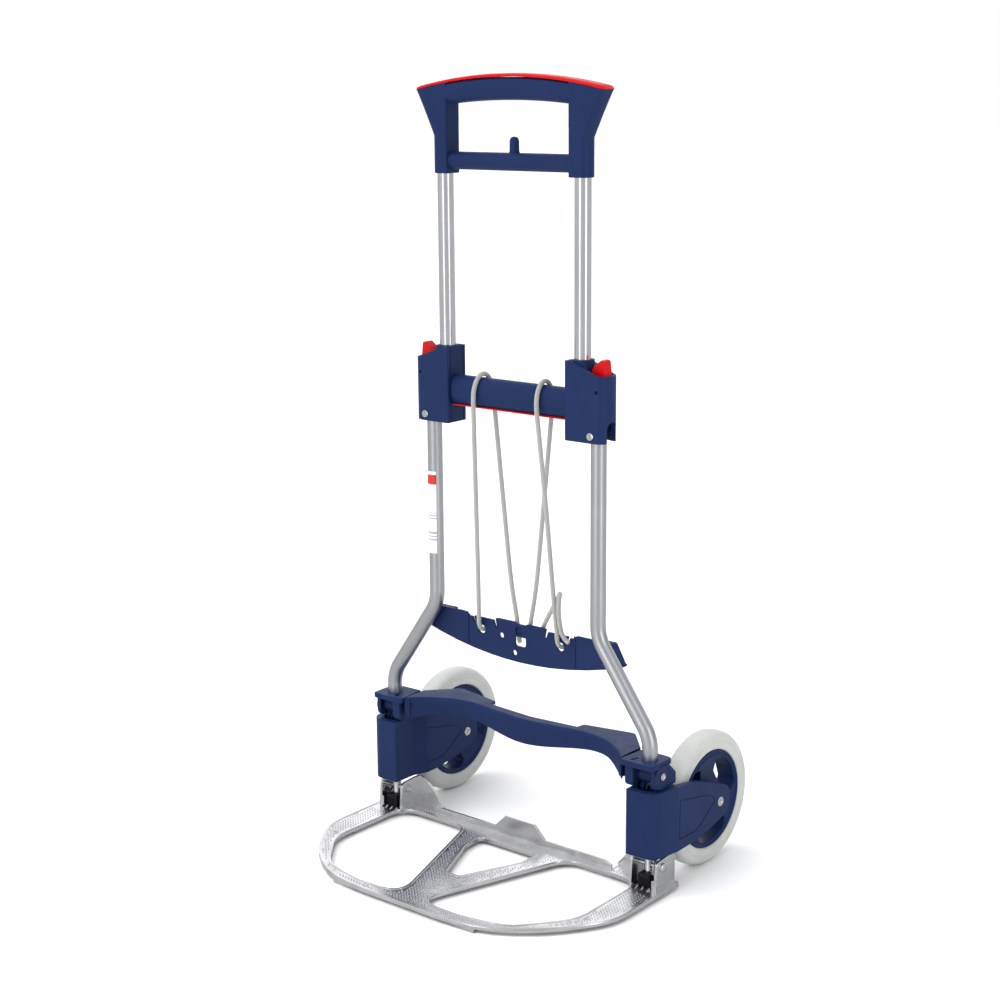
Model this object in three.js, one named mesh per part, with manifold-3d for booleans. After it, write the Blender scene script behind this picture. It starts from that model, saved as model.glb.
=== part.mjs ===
// A folding two-wheeled hand truck. The handle slides down through two latch housings,
// the toe plate hinges up, and bevel teeth swing the wheels in between the side tubes with it.
// Millimetres, +Z up, +X to the user's left when facing the toe plate, toe plate towards -Y.
import * as THREE from "three";
import { mergeVertices } from "three/addons/utils/BufferGeometryUtils.js";
import Module from "manifold-3d";

const wasm = await Module();
wasm.setup();

// ---------------------------------------------------------------- driving dimensions
const GAP = 0.3; // between pieces that touch
const TUBE_PLANE_Y = 12.75; // the tubes' plane, so that the origin is under the middle of the box

const WHEEL_R = 90;
const TYRE_HALF = 15;
const RIM_R = 66;
const WHEEL_Y = 121; // axle, behind the tubes
const SIDE_X = 216; // the vertical stretch of a side tube, and the pivot that a wheel folds about

const LOWER_R = 10;
const LOWER_BORE_R = 8.5;
const LOWER_TOP_X = 134.5;
const LOWER_TOP_Z = 622;
const LOWER_END_Z = 173;
const BEND_TOP_Z = 322;
const BEND_LOW_Z = 206;
const BEND_R = 52;

const UPPER_R = 10.5;
const UPPER_BORE_R = 9;
const UPPER_X = 109.5;
const UPPER_END_Z = 590;
const UPPER_TOP_Z = 976;

const LEG_BOTTOM_Z = 895;
const LEG_INNER_X = 96.5;
const LEG_OUTER_X = 123;
const LEG_WAIST_Z = 940;
const LEG_HALF_Y = 13.5;
const GRIP_CORNER = { x: 149, z: 998 };
const GRIP_TOP_Z = 1014;
const GRIP_UNDER = { apex: 986, end: 981 };
const STRIP_THICK = 4.2;
const BAR_R = 11.2;
const BAR_Z = 911.2;
const PEG_R = 6;
const PEG_TOP_Z = 942;
const PEG_Y = 4;

const HOUSING = { inner: 95, bottom: 574, innerTop: 674, outerTop: 657, halfY: 18.5 };
const LEVER_PIN = { x: 143, z: 638, r: 2 };
const RIVET_Z = 583;

const MID_Z = 617.5;
const MID_HALF_Z = 19.5;
const MID_HALF_Y = 14;

const HOOK = { front: 10.8, web: 4, back: 24, top: 313, endX: 163, foot: 259, rise: 25 };

const KNUCKLE = { z: 159, collarX: 184.5, innerX: 191, innerFace: 203.5, outerFace: 228.5, outerX: 236 };
// The crossbar. Its front wall starts at front.middle, bows back to front.crest and sweeps forward to
// front.end at the knuckle. The wall's lower edge rises from low.middle to low.crest and drops to low.end.
const CROSSBAR = {
  top: 179,
  skin: 3.2,
  wall: 3.2,
  end: 183.6,
  earR: 9,
  earX: 190.6,
  front: { middle: 14, crest: 24.5, crestX: 98, end: -16.5 },
  low: { middle: 145.5, crest: 158.4, crestX: 135, end: 149 },
  // the plate's rear edge: a straight middle, a step, and a wing that reaches behind the side tube
  rear: { middle: 32, stepX: 75, stepFrom: 38.5, stepTo: 51, wingX: 148, wing: 65, end: 26 },
};
const DRUM_R = 11.8;
const POST_R = 5.5;

const CARRIER = { bottom: 54, top: 141, hubHalf: 20, forkHalf: 28.5, slotHalf: 20, front: -23.5 };

const PLATE_TOP = 10;
const PLATE_LIP = 4; // the height of the underside of the plate's edge
const PLATE = { halfX: 244, frontY: -236.5, backY: 28 };
const HINGE_Z = 37.5;
const CHEEK = { inner: 195, innerFace: 199, outerFace: 233, outer: 237 };
const GEAR = { teeth: 24, inner: 12.2, outer: 14.8, root: 15.1, toothHalf: 0.55 };

const CORD_R = 3;

// ---------------------------------------------------------------- colours
const finish = (color, roughness, metalness = 0) =>
  new THREE.MeshStandardMaterial({ color, roughness, metalness });
const NAVY = finish("#26396e", 0.55);
const RED = finish("#c8141a", 0.45);
const TUBE_ALU = finish("#c3c6cb", 0.3, 1);
const PLATE_ALU = finish("#d2d3d4", 0.35, 1);
const STEEL = finish("#c9ccd0", 0.2, 1);
const BLACK = finish("#15161a", 0.6);
const TYRE_GREY = finish("#c6c8c4", 0.75);
const CORD_GREY = finish("#bdbdb6", 0.85);
const LABEL = finish("#f1f1ef", 0.5);

// ---------------------------------------------------------------- shapes
// A closed outline through corners [u, v, radius]; a corner with a radius is rounded.
function outline(corners, Kind = THREE.Shape) {
  const path = new Kind();
  corners.forEach(([u, v, r = 0], i) => {
    const corner = new THREE.Vector2(u, v);
    const last = corners.at(i - 1);
    const next = corners[(i + 1) % corners.length];
    const back = new THREE.Vector2(last[0], last[1]).sub(corner).normalize();
    const ahead = new THREE.Vector2(next[0], next[1]).sub(corner).normalize();
    const half = Math.acos(THREE.MathUtils.clamp(back.dot(ahead), -1, 1)) / 2;
    const reach = r / Math.tan(half);
    const start = corner.clone().addScaledVector(back, reach);
    const end = corner.clone().addScaledVector(ahead, reach);
    if (i === 0) path.moveTo(start.x, start.y);
    else path.lineTo(start.x, start.y);
    if (r > 0) path.quadraticCurveTo(u, v, end.x, end.y);
  });
  path.closePath();
  return path;
}

// The mirror image of a half outline, joined to it, so that the whole is symmetric about u = 0.
const mirrored = (half) => [...half, ...half.map(([u, v, r]) => [-u, v, r]).reverse()];

// Two numbers, the lower one first.
const span = (a, b) => [Math.min(a, b), Math.max(a, b)];

const extrude = (shape, depth, curveSegments = 5) =>
  new THREE.ExtrudeGeometry(shape, { depth, bevelEnabled: false, curveSegments });

// A flat shape in the XY, XZ or YZ plane, made thick along the third axis.
const slabXY = (shape, z0, z1, segments) => extrude(shape, z1 - z0, segments).translate(0, 0, z0);
const slabXZ = (shape, y0, y1, segments) =>
  extrude(shape, y1 - y0, segments).rotateX(Math.PI / 2).translate(0, y1, 0);
const AS_YZ = new THREE.Matrix4().makeBasis(
  new THREE.Vector3(0, 1, 0),
  new THREE.Vector3(0, 0, 1),
  new THREE.Vector3(1, 0, 0),
);
const slabYZ = (shape, x0, x1, segments) =>
  extrude(shape, x1 - x0, segments).applyMatrix4(AS_YZ).translate(x0, 0, 0);

const box = (x0, x1, y0, y1, z0, z1) =>
  new THREE.BoxGeometry(x1 - x0, y1 - y0, z1 - z0).translate((x0 + x1) / 2, (y0 + y1) / 2, (z0 + z1) / 2);

// Round bars along each axis.
const rodZ = (x, y, r, z0, z1, sides = 16) =>
  new THREE.CylinderGeometry(r, r, z1 - z0, sides).rotateX(Math.PI / 2).translate(x, y, (z0 + z1) / 2);
const rodY = (x, z, r, y0, y1, sides = 16) =>
  new THREE.CylinderGeometry(r, r, y1 - y0, sides).translate(x, (y0 + y1) / 2, z);
const rodX = (y, z, r, x0, x1, sides = 16) =>
  new THREE.CylinderGeometry(r, r, x1 - x0, sides).rotateZ(-Math.PI / 2).translate((x0 + x1) / 2, y, z);

// A body turned about Z from a closed profile of [radius, height], and the same about X.
const turnZ = (profile, sides) =>
  new THREE.LatheGeometry(
    profile.map(([r, h]) => new THREE.Vector2(r, h)),
    sides,
  ).rotateX(Math.PI / 2);
const turnX = (profile, sides) => turnZ(profile, sides).rotateY(Math.PI / 2);

// A pipe about Z.
const pipeZ = (x, rOut, rIn, z0, z1, sides) =>
  turnZ([[rIn, z0], [rOut, z0], [rOut, z1], [rIn, z1], [rIn, z0]], sides).translate(x, 0, 0);

// ---------------------------------------------------------------- joining and cutting
function solid(geometry) {
  const bare = new THREE.BufferGeometry();
  bare.setAttribute("position", geometry.getAttribute("position"));
  if (geometry.index) bare.setIndex(geometry.index);
  const merged = mergeVertices(bare, 1e-3);
  const vertProperties = new Float32Array(merged.attributes.position.array);
  const triVerts = new Uint32Array(merged.index.array);
  return new wasm.Manifold(new wasm.Mesh({ numProp: 3, vertProperties, triVerts }));
}

function geometryOf(body) {
  const { vertProperties, triVerts } = body.getMesh();
  const geometry = new THREE.BufferGeometry();
  geometry.setAttribute("position", new THREE.BufferAttribute(new Float32Array(vertProperties), 3));
  geometry.setIndex(new THREE.BufferAttribute(new Uint32Array(triVerts), 1));
  geometry.computeVertexNormals();
  return geometry;
}

const join = (...parts) => parts.map(solid).reduce((all, part) => all.add(part));
const cut = (body, ...tools) => tools.map(solid).reduce((rest, tool) => rest.subtract(tool), body);

// ---------------------------------------------------------------- routes for bent tubes and cords
// A curve through stations, each a point and the direction there, so that straight runs need no steps.
class Route extends THREE.Curve {
  constructor(stations) {
    super();
    this.stations = stations;
  }
  getUtoTmapping(u) {
    return u;
  }
  at(t) {
    const place = t * (this.stations.length - 1);
    const i = Math.min(Math.floor(place + 1e-9), this.stations.length - 2);
    return [this.stations[i], this.stations[i + 1], place - i];
  }
  getPoint(t, target = new THREE.Vector3()) {
    const [a, b, k] = this.at(t);
    return target.copy(a.point).lerp(b.point, k);
  }
  getTangent(t, target = new THREE.Vector3()) {
    const [a, b, k] = this.at(t);
    return target.copy(a.dir).lerp(b.dir, k).normalize();
  }
}

const ringShape = (rOut, rIn, sides) => {
  const circle = (r, Kind) => {
    const path = new Kind();
    const at = (i) => [r * Math.cos((2 * Math.PI * i) / sides), r * Math.sin((2 * Math.PI * i) / sides)];
    path.moveTo(...at(0));
    for (let i = 1; i < sides; i += 1) path.lineTo(...at(i));
    path.closePath();
    return path;
  };
  const shape = circle(rOut, THREE.Shape);
  if (rIn) shape.holes.push(circle(rIn, THREE.Path));
  return shape;
};

const sweep = (shape, stations) =>
  new THREE.ExtrudeGeometry(shape, {
    steps: stations.length - 1,
    bevelEnabled: false,
    extrudePath: new Route(stations),
  });

// Stations of a line through corners in one plane, each corner rounded to the bend radius.
function bentStations(corners, radius, bendSteps) {
  const points = corners.map((c) => new THREE.Vector3(...c));
  const dirs = points.slice(1).map((p, i) => p.clone().sub(points[i]).normalize());
  const stations = [{ point: points[0], dir: dirs[0] }];
  for (let i = 1; i < points.length - 1; i += 1) {
    const [into, out] = [dirs[i - 1], dirs[i]];
    const angle = into.angleTo(out);
    const axis = into.clone().cross(out).normalize();
    const reach = radius * Math.tan(angle / 2);
    const start = points[i].clone().addScaledVector(into, -reach);
    const toCentre = axis.clone().cross(into);
    const centre = start.clone().addScaledVector(toCentre, radius);
    for (let k = 0; k <= bendSteps; k += 1) {
      const turn = (angle * k) / bendSteps;
      const arm = start.clone().sub(centre).applyAxisAngle(axis, turn);
      stations.push({ point: centre.clone().add(arm), dir: into.clone().applyAxisAngle(axis, turn) });
    }
  }
  stations.push({ point: points.at(-1), dir: dirs.at(-1) });
  return stations;
}

// Stations along a smooth curve through chosen points, with as many steps between each two.
function smoothStations(points, stepsBetween) {
  const curve = new THREE.CatmullRomCurve3(points.map((p) => new THREE.Vector3(...p)), false, "centripetal");
  const count = stepsBetween * (points.length - 1);
  return Array.from({ length: count + 1 }, (_, i) => ({
    point: curve.getPoint(i / count),
    dir: curve.getTangent(i / count),
  }));
}

// ---------------------------------------------------------------- the group
const truck = new THREE.Group();
truck.position.y = TUBE_PLANE_Y;

function add(name, shape, material, parent = truck) {
  const geometry = shape.isBufferGeometry ? shape : geometryOf(shape);
  const mesh = new THREE.Mesh(geometry, material);
  mesh.name = name;
  parent.add(mesh);
  return mesh;
}

// One group for each side: the right one is built at +X, and the left one is its mirror image.
const sides = ["right", "left"].map((side) => {
  const group = new THREE.Group();
  group.scale.x = side === "right" ? 1 : -1;
  truck.add(group);
  return { side, group };
});
const addPair = (name, shape, material) =>
  sides.forEach(({ side, group }) => add(name + "_" + side, shape, material, group));

// ---------------------------------------------------------------- side tubes
function lowerTube() {
  const corners = [
    [SIDE_X, 0, LOWER_END_Z],
    [SIDE_X, 0, BEND_LOW_Z],
    [LOWER_TOP_X, 0, BEND_TOP_Z],
    [LOWER_TOP_X, 0, LOWER_TOP_Z],
  ];
  const tube = sweep(ringShape(LOWER_R, LOWER_BORE_R, 14), bentStations(corners, BEND_R, 4));
  return cut(solid(tube), rodY(LOWER_TOP_X, RIVET_Z, 3 + GAP, -12, 12, 10));
}

const upperTube = () => pipeZ(UPPER_X, UPPER_R, UPPER_BORE_R, UPPER_END_Z, UPPER_TOP_Z, 20);

// A stepped plug that closes the foot of an upper tube.
const tubePlug = () =>
  turnZ([[0, 586], [UPPER_R, 586], [UPPER_R, 589.7], [UPPER_BORE_R - GAP, 589.7], [UPPER_BORE_R - GAP, 602],
    [0, 602]], 20).translate(UPPER_X, 0, 0);

// ---------------------------------------------------------------- handle
// The height of an arch at x, from its apex, its height at one end, and how far out that end is.
const archRadius = (apex, end, half) => (half ** 2 + (apex - end) ** 2) / (2 * (apex - end));
function arch(apex, end, half, steps) {
  const radius = archRadius(apex, end, half);
  return Array.from({ length: steps + 1 }, (_, i) => {
    const x = half - (2 * half * i) / steps;
    return [x, apex - radius + Math.sqrt(radius ** 2 - x ** 2)];
  });
}

function handleGrip() {
  const top = arch(GRIP_TOP_Z, GRIP_CORNER.z, GRIP_CORNER.x, 14);
  const under = arch(GRIP_UNDER.apex, GRIP_UNDER.end, LEG_INNER_X, 8).reverse();
  const edge = [
    [LEG_INNER_X, LEG_BOTTOM_Z],
    [LEG_OUTER_X, LEG_BOTTOM_Z],
    [LEG_OUTER_X, LEG_WAIST_Z],
    ...top,
    [-LEG_OUTER_X, LEG_WAIST_Z],
    [-LEG_OUTER_X, LEG_BOTTOM_Z],
    [-LEG_INNER_X, LEG_BOTTOM_Z],
    ...under,
  ];
  const shell = join(
    slabXZ(outline(edge), -LEG_HALF_Y, LEG_HALF_Y),
    rodX(0, BAR_Z, BAR_R, -LEG_INNER_X - 1, LEG_INNER_X + 1, 16),
    rodZ(0, PEG_Y, PEG_R, BAR_Z, PEG_TOP_Z - 3, 12),
    rodZ(0, PEG_Y, PEG_R - 2.5, BAR_Z, PEG_TOP_Z, 12),
  );
  const bores = [1, -1].map((s) =>
    rodZ(s * UPPER_X, 0, UPPER_R + GAP, LEG_BOTTOM_Z - 1, UPPER_TOP_Z + GAP, 20),
  );
  return cut(shell, ...bores);
}

function handleGripStrip() {
  const lower = arch(GRIP_TOP_Z + GAP, GRIP_CORNER.z + GAP, GRIP_CORNER.x, 14);
  const upper = lower.map(([x, z]) => [x, z + STRIP_THICK]).reverse();
  return slabXZ(outline([...lower, ...upper]), -LEG_HALF_Y + 1, LEG_HALF_Y - 1);
}

// ---------------------------------------------------------------- latch housings
function latchHousing() {
  const { inner, bottom, innerTop, outerTop, halfY } = HOUSING;
  const plan = outline([
    [inner, -halfY, 3],
    [LOWER_TOP_X + 20, -halfY, 18],
    [LOWER_TOP_X + 20, halfY, 18],
    [inner, halfY, 3],
  ]);
  const side = outline([
    [inner - 1, bottom],
    [LOWER_TOP_X + 21, bottom],
    [LOWER_TOP_X + 21, outerTop],
    [inner + 12, innerTop],
    [inner - 1, innerTop],
  ]);
  const body = solid(slabXY(plan, bottom - 1, innerTop + 1, 5))
    .intersect(solid(slabXZ(side, -halfY - 1, halfY + 1)))
    .add(solid(rodZ(UPPER_X, 0, UPPER_R + 3, outerTop - 10, innerTop + 3, 16)));
  const archR = 11;
  return cut(
    body,
    rodZ(UPPER_X, 0, UPPER_R + GAP, bottom - 1, innerTop + 5, 20),
    rodZ(LOWER_TOP_X, 0, LOWER_R + GAP, bottom - 1, LOWER_TOP_Z + 2, 20),
    // the pocket that the lever sits in
    box(UPPER_X + 14, LOWER_TOP_X + 17.5, -8, 8, LOWER_TOP_Z + 1, innerTop + 5),
    box(UPPER_X + 6, LOWER_TOP_X, -4.5, 4.5, LOWER_TOP_Z + 1, LOWER_TOP_Z + 14),
    // the arch at the foot of the outer side
    rodX(3, bottom + 15, archR, LOWER_TOP_X + 2, LOWER_TOP_X + 22, 14),
    box(LOWER_TOP_X + 2, LOWER_TOP_X + 22, 3 - archR, 3 + archR, bottom - 1, bottom + 15),
    rodY(LEVER_PIN.x, LEVER_PIN.z, LEVER_PIN.r + GAP, -halfY - 1, halfY + 1, 10),
    rodY(LOWER_TOP_X, RIVET_Z, 3 + GAP, -halfY - 1, halfY + 1, 12),
  );
}

// A shaft along Y with a head on each end.
const headedPinY = (x, z, r, headR, headT, half) =>
  join(
    rodY(x, z, r, -half, half, 12),
    rodY(x, z, headR, -half - headT, -half, 14),
    rodY(x, z, headR, half, half + headT, 14),
  );

// ---------------------------------------------------------------- release levers
function releaseLever() {
  const { x, z } = LEVER_PIN;
  const profile = outline([
    [x - 5, z - 13, 2],
    [x + 4, z - 8, 3],
    [x + 7, z + 20, 2],
    [x + 4.5, z + 38.5, 3],
    [x - 10, z + 36.5, 2],
    [x - 15, z + 27, 2],
    [x - 7, z + 9, 3],
    [x - 7, z - 2],
    [x - 21.6, z - 6],
    [x - 21.6, z - 12],
  ]);
  const noseSides = [-1, 1].map((s) => box(x - 30, x - 7.5, ...span(4 * s, 8 * s), z - 15, z + 4));
  return cut(solid(slabXZ(profile, -7, 7, 3)), rodY(x, z, LEVER_PIN.r + GAP, -8, 8, 10), ...noseSides);
}

// The coil that pushes a lever back, wound round its pin beside it.
const leverSpring = () =>
  turnX([[LEVER_PIN.r + 0.7, 0], [LEVER_PIN.r + 2.2, 0], [LEVER_PIN.r + 2.2, 0.5], [LEVER_PIN.r + 0.7, 0.5],
    [LEVER_PIN.r + 0.7, 0]], 12).rotateZ(Math.PI / 2).translate(LEVER_PIN.x, 7.3, LEVER_PIN.z);

// ---------------------------------------------------------------- upper cross tube
const ellipse = (halfU, halfV, v, count) =>
  outline(
    Array.from({ length: count }, (_, i) => {
      const turn = (2 * Math.PI * i) / count;
      return [halfU * Math.cos(turn), v + halfV * Math.sin(turn)];
    }),
  );

function midCrossbar() {
  const end = HOUSING.inner - GAP;
  const tube = solid(slabYZ(ellipse(MID_HALF_Y, MID_HALF_Z, MID_Z, 28), -end, end));
  // the flat seat of the trim strip
  return cut(tube, box(-end - 1, end + 1, -9, 5, MID_Z - 22, MID_Z - 17.6));
}

const midCrossbarStrip = () =>
  box(-HOUSING.inner + 1, HOUSING.inner - 1, -8.5, 4.5, MID_Z - 20.9, MID_Z - 17.9);

// ---------------------------------------------------------------- hook bar
// The height of the bar's lower edge, which curves up towards its ends.
const hookFoot = (x) => HOOK.foot + HOOK.rise * (x / HOOK.endX) ** 2;

function hookBar() {
  const { front, web, back, top, endX } = HOOK;
  const stations = [0, 40, 80, 120];
  const half = [
    ...stations.map((x) => [x, hookFoot(x)]),
    [endX, hookFoot(endX), 3],
    [endX - 11, top, 3],
    [89, top],
    [86, top - 5],
    [83, top - 5],
    [80, top - 14, 2],
    [78, top - 14, 2],
    [81, top - 4],
    [47, top - 4],
    [44, top - 12, 2],
    [42, top - 12, 2],
    [44, top],
    [0, top],
  ];
  const face = outline(mirrored(half.slice(0, -1)).filter(([u, v]) => !(u === 0 && v === top)));
  for (const [x, z, r] of [[66, 293.5, 6], [-66, 293.5, 6], [-32, 291, 4], [-10, 271, 4]]) {
    const hole = new THREE.Path();
    hole.absarc(x, z, r, 0, 2 * Math.PI, true);
    face.holes.push(hole);
  }
  const slot = outline([[-9, 281, 3], [9, 281, 3], [9, 294, 2], [-9, 294, 2]], THREE.Path);
  face.holes.push(slot);
  const rib = (x) => box(x - 1.5, x + 1.5, front + web - 0.5, back, 272, 308);
  const foot = (s) => box(...span(s * 118, s * 134), front + web - 0.5, back, 276, top - 1);
  const flangeHalf = [
    ...stations.slice(1).map((x) => [x, hookFoot(x)]),
    ...stations.slice(1).reverse().map((x) => [x, hookFoot(x) + 3.5]),
  ];
  const flange = outline(mirrored(flangeHalf));
  const bar = join(
    slabXZ(face, front, front + web, 4),
    slabXZ(flange, front + web - 0.5, back),
    rib(100),
    rib(-100),
    foot(1),
    foot(-1),
  );
  return cut(bar, ...[1, -1].map((s) => rodY(s * 126, 295, 3 + GAP, front - 1, back + 1, 12)));
}

// ---------------------------------------------------------------- lower crossbar
// A bow that lies flat behind the side tubes and folds up about the knuckle pins.
const ease = (t) => t * t * (3 - 2 * t);

// A value that eases from middle at x = 0 to crest at crestX, and on to end at the crossbar's end.
function swell({ middle, crest, crestX, end }, x, fall) {
  if (x <= crestX) return THREE.MathUtils.lerp(middle, crest, ease(x / crestX));
  const past = Math.min((x - crestX) / (CROSSBAR.end - crestX), 1);
  return THREE.MathUtils.lerp(crest, end, fall(past));
}

const barFront = (x) => swell(CROSSBAR.front, x, (t) => t * t);
const barLow = (x) => swell(CROSSBAR.low, x, ease);

function lowerCrossbar() {
  const { top, skin, wall, end, earR, earX, rear } = CROSSBAR;
  const { z } = KNUCKLE;
  const steps = 15;
  const stations = Array.from({ length: steps + 1 }, (_, i) => (end * i) / steps);
  const across = (points) => [...points.slice(1).map(([u, v]) => [-u, v]).reverse(), ...points];
  const front = stations.map((x) => [x, barFront(x)]);
  const inside = stations.map((x) => [x, barFront(x) + wall]);
  const low = [...stations.map((x) => [x, barLow(x)]), [end + 2, barLow(end)]];
  const behind = [
    [0, rear.middle],
    [rear.stepX - 1, rear.stepFrom],
    [rear.stepX + 1, rear.stepTo],
    [rear.wingX, rear.wing, 3],
    [end, rear.end],
  ];
  const plate = slabXY(outline([...across(front), ...across(behind).reverse()]), top - skin, top);
  // the front wall follows the plate's front edge and hangs down to its own lower edge
  const band = slabXY(outline([...across(front), ...across(inside).reverse()]), 140, top - skin / 2);
  const face = slabXZ(outline([...across(low), [end + 2, top], [-end - 2, top]]), barFront(end) - 5, 60);
  const ribs = [0, 30, -30, 62, -62].map((x) =>
    box(x - 1.2, x + 1.2, barFront(Math.abs(x)) + 1, 31, 150, top - 1),
  );
  const ends = [1, -1].flatMap((s) => {
    const gusset = outline([[-14, top - 1], [-14, 151, 3], [8, 149, 6], [26, 172, 3], [26, top - 1]]);
    const ear = rodX(0, z, earR, ...span(s * (end - 6), s * earX), 20);
    return [slabYZ(gusset, ...span(s * (end - 6), s * end)), ear];
  });
  const bores = [1, -1].map((s) => rodX(0, z, 3 + GAP, ...span(s * 170, s * 200), 12));
  return cut(join(plate, ...ribs, ...ends).add(solid(band).intersect(solid(face))), ...bores);
}

// The lower end of a side tube: a collar plate round the tube and two cheeks for the knuckle pin.
function knuckle() {
  const { z, collarX, innerX, innerFace, outerFace, outerX } = KNUCKLE;
  const collar = outline([
    [collarX, -22, 3],
    [collarX + 8, -24, 4],
    [outerX, -24, 6],
    [outerX, 22, 8],
    [collarX + 4, 24, 3],
  ]);
  const outerCheek = [[-17, 178], [9, 178], [31, 157, 2], [31, 141.8, 1], [4, z - 17, 14], [-17, z - 14, 10]];
  const innerCheek = [[-19, 178], [15, 178], [15, 160, 4], [9, z - 17, 12], [-19, z - 15, 10]];
  return cut(
    join(
      slabXY(collar, 171, 178),
      slabYZ(outline(innerCheek), innerX, innerFace),
      slabYZ(outline(outerCheek), outerFace, outerX),
    ),
    rodZ(SIDE_X, 0, LOWER_R + GAP, 160, 180, 20),
    rodX(0, z, 3 + GAP, 180, 240, 12),
  );
}

// The fitting in a knuckle: a drum across it, and a spigot up into the side tube.
function pivotFitting() {
  const { z, innerFace, outerFace } = KNUCKLE;
  const body = join(
    rodX(0, z, DRUM_R, innerFace + GAP, outerFace - GAP, 20),
    rodZ(SIDE_X, 0, LOWER_BORE_R - 2 * GAP, z, 188, 14),
  );
  return cut(
    body,
    rodX(0, z, 3 + GAP, innerFace - 1, outerFace + 1, 12),
    rodZ(SIDE_X, 0, POST_R + GAP, 140, 153, 14),
  );
}

function knucklePin() {
  const { z, outerX } = KNUCKLE;
  return join(
    rodX(0, z, 3, CROSSBAR.end - 8, outerX + 1, 12),
    rodX(0, z, 5, CROSSBAR.end - 9, CROSSBAR.end - 6 - GAP, 14),
    rodX(0, z, 5, outerX + GAP, outerX + 2.5, 14),
  );
}

const pivotPost = () =>
  cut(solid(rodZ(SIDE_X, 0, POST_R, 22, 152.7, 16)), rodX(0, HINGE_Z, 3 + GAP, 200, 232, 12));

function footBlock() {
  const profile = outline([[-12, 1, 2], [12, 1, 2], [12, 27, 2], [-12, 27, 2]]);
  return cut(solid(slabYZ(profile, SIDE_X - 9, SIDE_X + 9)), rodZ(SIDE_X, 0, POST_R + GAP, 21.7, 30, 14));
}

// ---------------------------------------------------------------- wheel carriers
function wheelCarrier() {
  const { bottom, top, hubHalf, forkHalf, slotHalf, front } = CARRIER;
  const x = SIDE_X;
  const plan = outline([
    [x - hubHalf, front, 1],
    [x + hubHalf + 2, front, 16],
    [x + forkHalf, 18, 12],
    [x + forkHalf, 150],
    [x - forkHalf, 150],
    [x - forkHalf, 32, 6],
    [x - hubHalf, 14, 6],
  ]);
  const profile = outline([
    [front - 1, bottom],
    [30, bottom],
    [62, bottom + 1, 10],
    [98, 66, 14],
    [WHEEL_Y + 22, 82, 16],
    [WHEEL_Y + 20, 108, 16],
    [102, 121, 12],
    [56, 136, 20],
    [14, top],
    [front - 1, top],
  ]);
  const block = solid(slabXY(plan, bottom - 1, top + 1, 4));
  const body = block.intersect(solid(slabYZ(profile, x - 40, x + 40, 4)));
  return cut(
    body,
    box(x - slotHalf, x + slotHalf, 27, 152, bottom - 2, top + 2),
    rodZ(x, 0, POST_R + GAP, bottom - 2, top + 2, 14),
    rodZ(x, 0, 16, top - 7, top + 2, 20),
    rodX(WHEEL_Y, WHEEL_R, 4 + GAP, x - 40, x + 40, 12),
  );
}

// Bevel teeth: a crown under the carrier, and a sector on the cheek of the toe plate. They mesh beside
// the tube's axis and over the hinge's axis, at equal radii, so a quarter turn of one turns the other
// by a quarter. A tooth lies between two cones of radius GEAR.inner and GEAR.outer.
const TOOTH_STEP = (2 * Math.PI) / GEAR.teeth;

function carrierGear() {
  const { inner, outer, root, toothHalf } = GEAR;
  const top = CARRIER.bottom - GAP;
  const ring = pipeZ(0, outer, inner, HINGE_Z + root, top, 24);
  const teeth = Array.from({ length: 11 }, (_, i) => {
    const tooth = box(inner, outer, -toothHalf, toothHalf, HINGE_Z + inner, HINGE_Z + root + 0.5);
    return tooth.rotateZ((i - 8) * TOOTH_STEP);
  });
  return geometryOf(join(ring, ...teeth)).translate(SIDE_X, 0, 0);
}

function plateGear() {
  const { inner, outer, root, toothHalf } = GEAR;
  const back = CHEEK.outerFace - SIDE_X - GAP;
  const ring = turnX([[inner, root], [outer, root], [outer, back], [inner, back], [inner, root]], 24);
  const teeth = Array.from({ length: 9 }, (_, i) =>
    box(inner, root + 0.5, -toothHalf, toothHalf, inner, outer).rotateX((i - 0.5) * TOOTH_STEP),
  );
  return geometryOf(join(ring, ...teeth)).translate(SIDE_X, 0, HINGE_Z);
}

// A rivet along X with a domed head on each end.
function axle() {
  const half = CARRIER.forkHalf;
  const end = [[0, half + 2], [3.5, half + 1.8], [6, half + 1], [6.5, half + GAP], [4, half + GAP]];
  const profile = [...end.map(([r, h]) => [r, -h]), ...end.reverse()];
  return turnX(profile, 14).translate(SIDE_X, WHEEL_Y, WHEEL_R);
}

// ---------------------------------------------------------------- wheels
const wheelBush = () =>
  turnX([[4.4, -17.5], [8, -17.5], [8, 17.5], [4.4, 17.5], [4.4, -17.5]], 16)
    .translate(SIDE_X, WHEEL_Y, WHEEL_R);

function wheelRim() {
  const r = RIM_R - GAP;
  const rim = turnX([[r - 7, -11], [r, -13], [r, 13], [r - 7, 11], [r - 7, -11]], 30);
  const disc = turnX([[8.3, -4], [r - 6, -4], [r - 6, 4], [8.3, 4], [8.3, -4]], 30);
  const hub = turnX([[8.3, -16.5], [19, -15], [19, 15], [8.3, 16.5], [8.3, -16.5]], 20);
  const windows = Array.from({ length: 3 }, (_, i) => {
    const hole = outline([
      [-22, 30, 5],
      [22, 30, 5],
      [33, 42, 6],
      [24, 53, 8],
      [0, 60, 30],
      [-24, 53, 8],
      [-33, 42, 6],
    ]);
    return slabYZ(hole, -20, 20, 3).rotateX((-54 * Math.PI) / 180 - (2 * Math.PI * i) / 3);
  });
  return geometryOf(cut(join(rim, disc, hub), ...windows)).translate(SIDE_X, WHEEL_Y, WHEEL_R);
}

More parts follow.
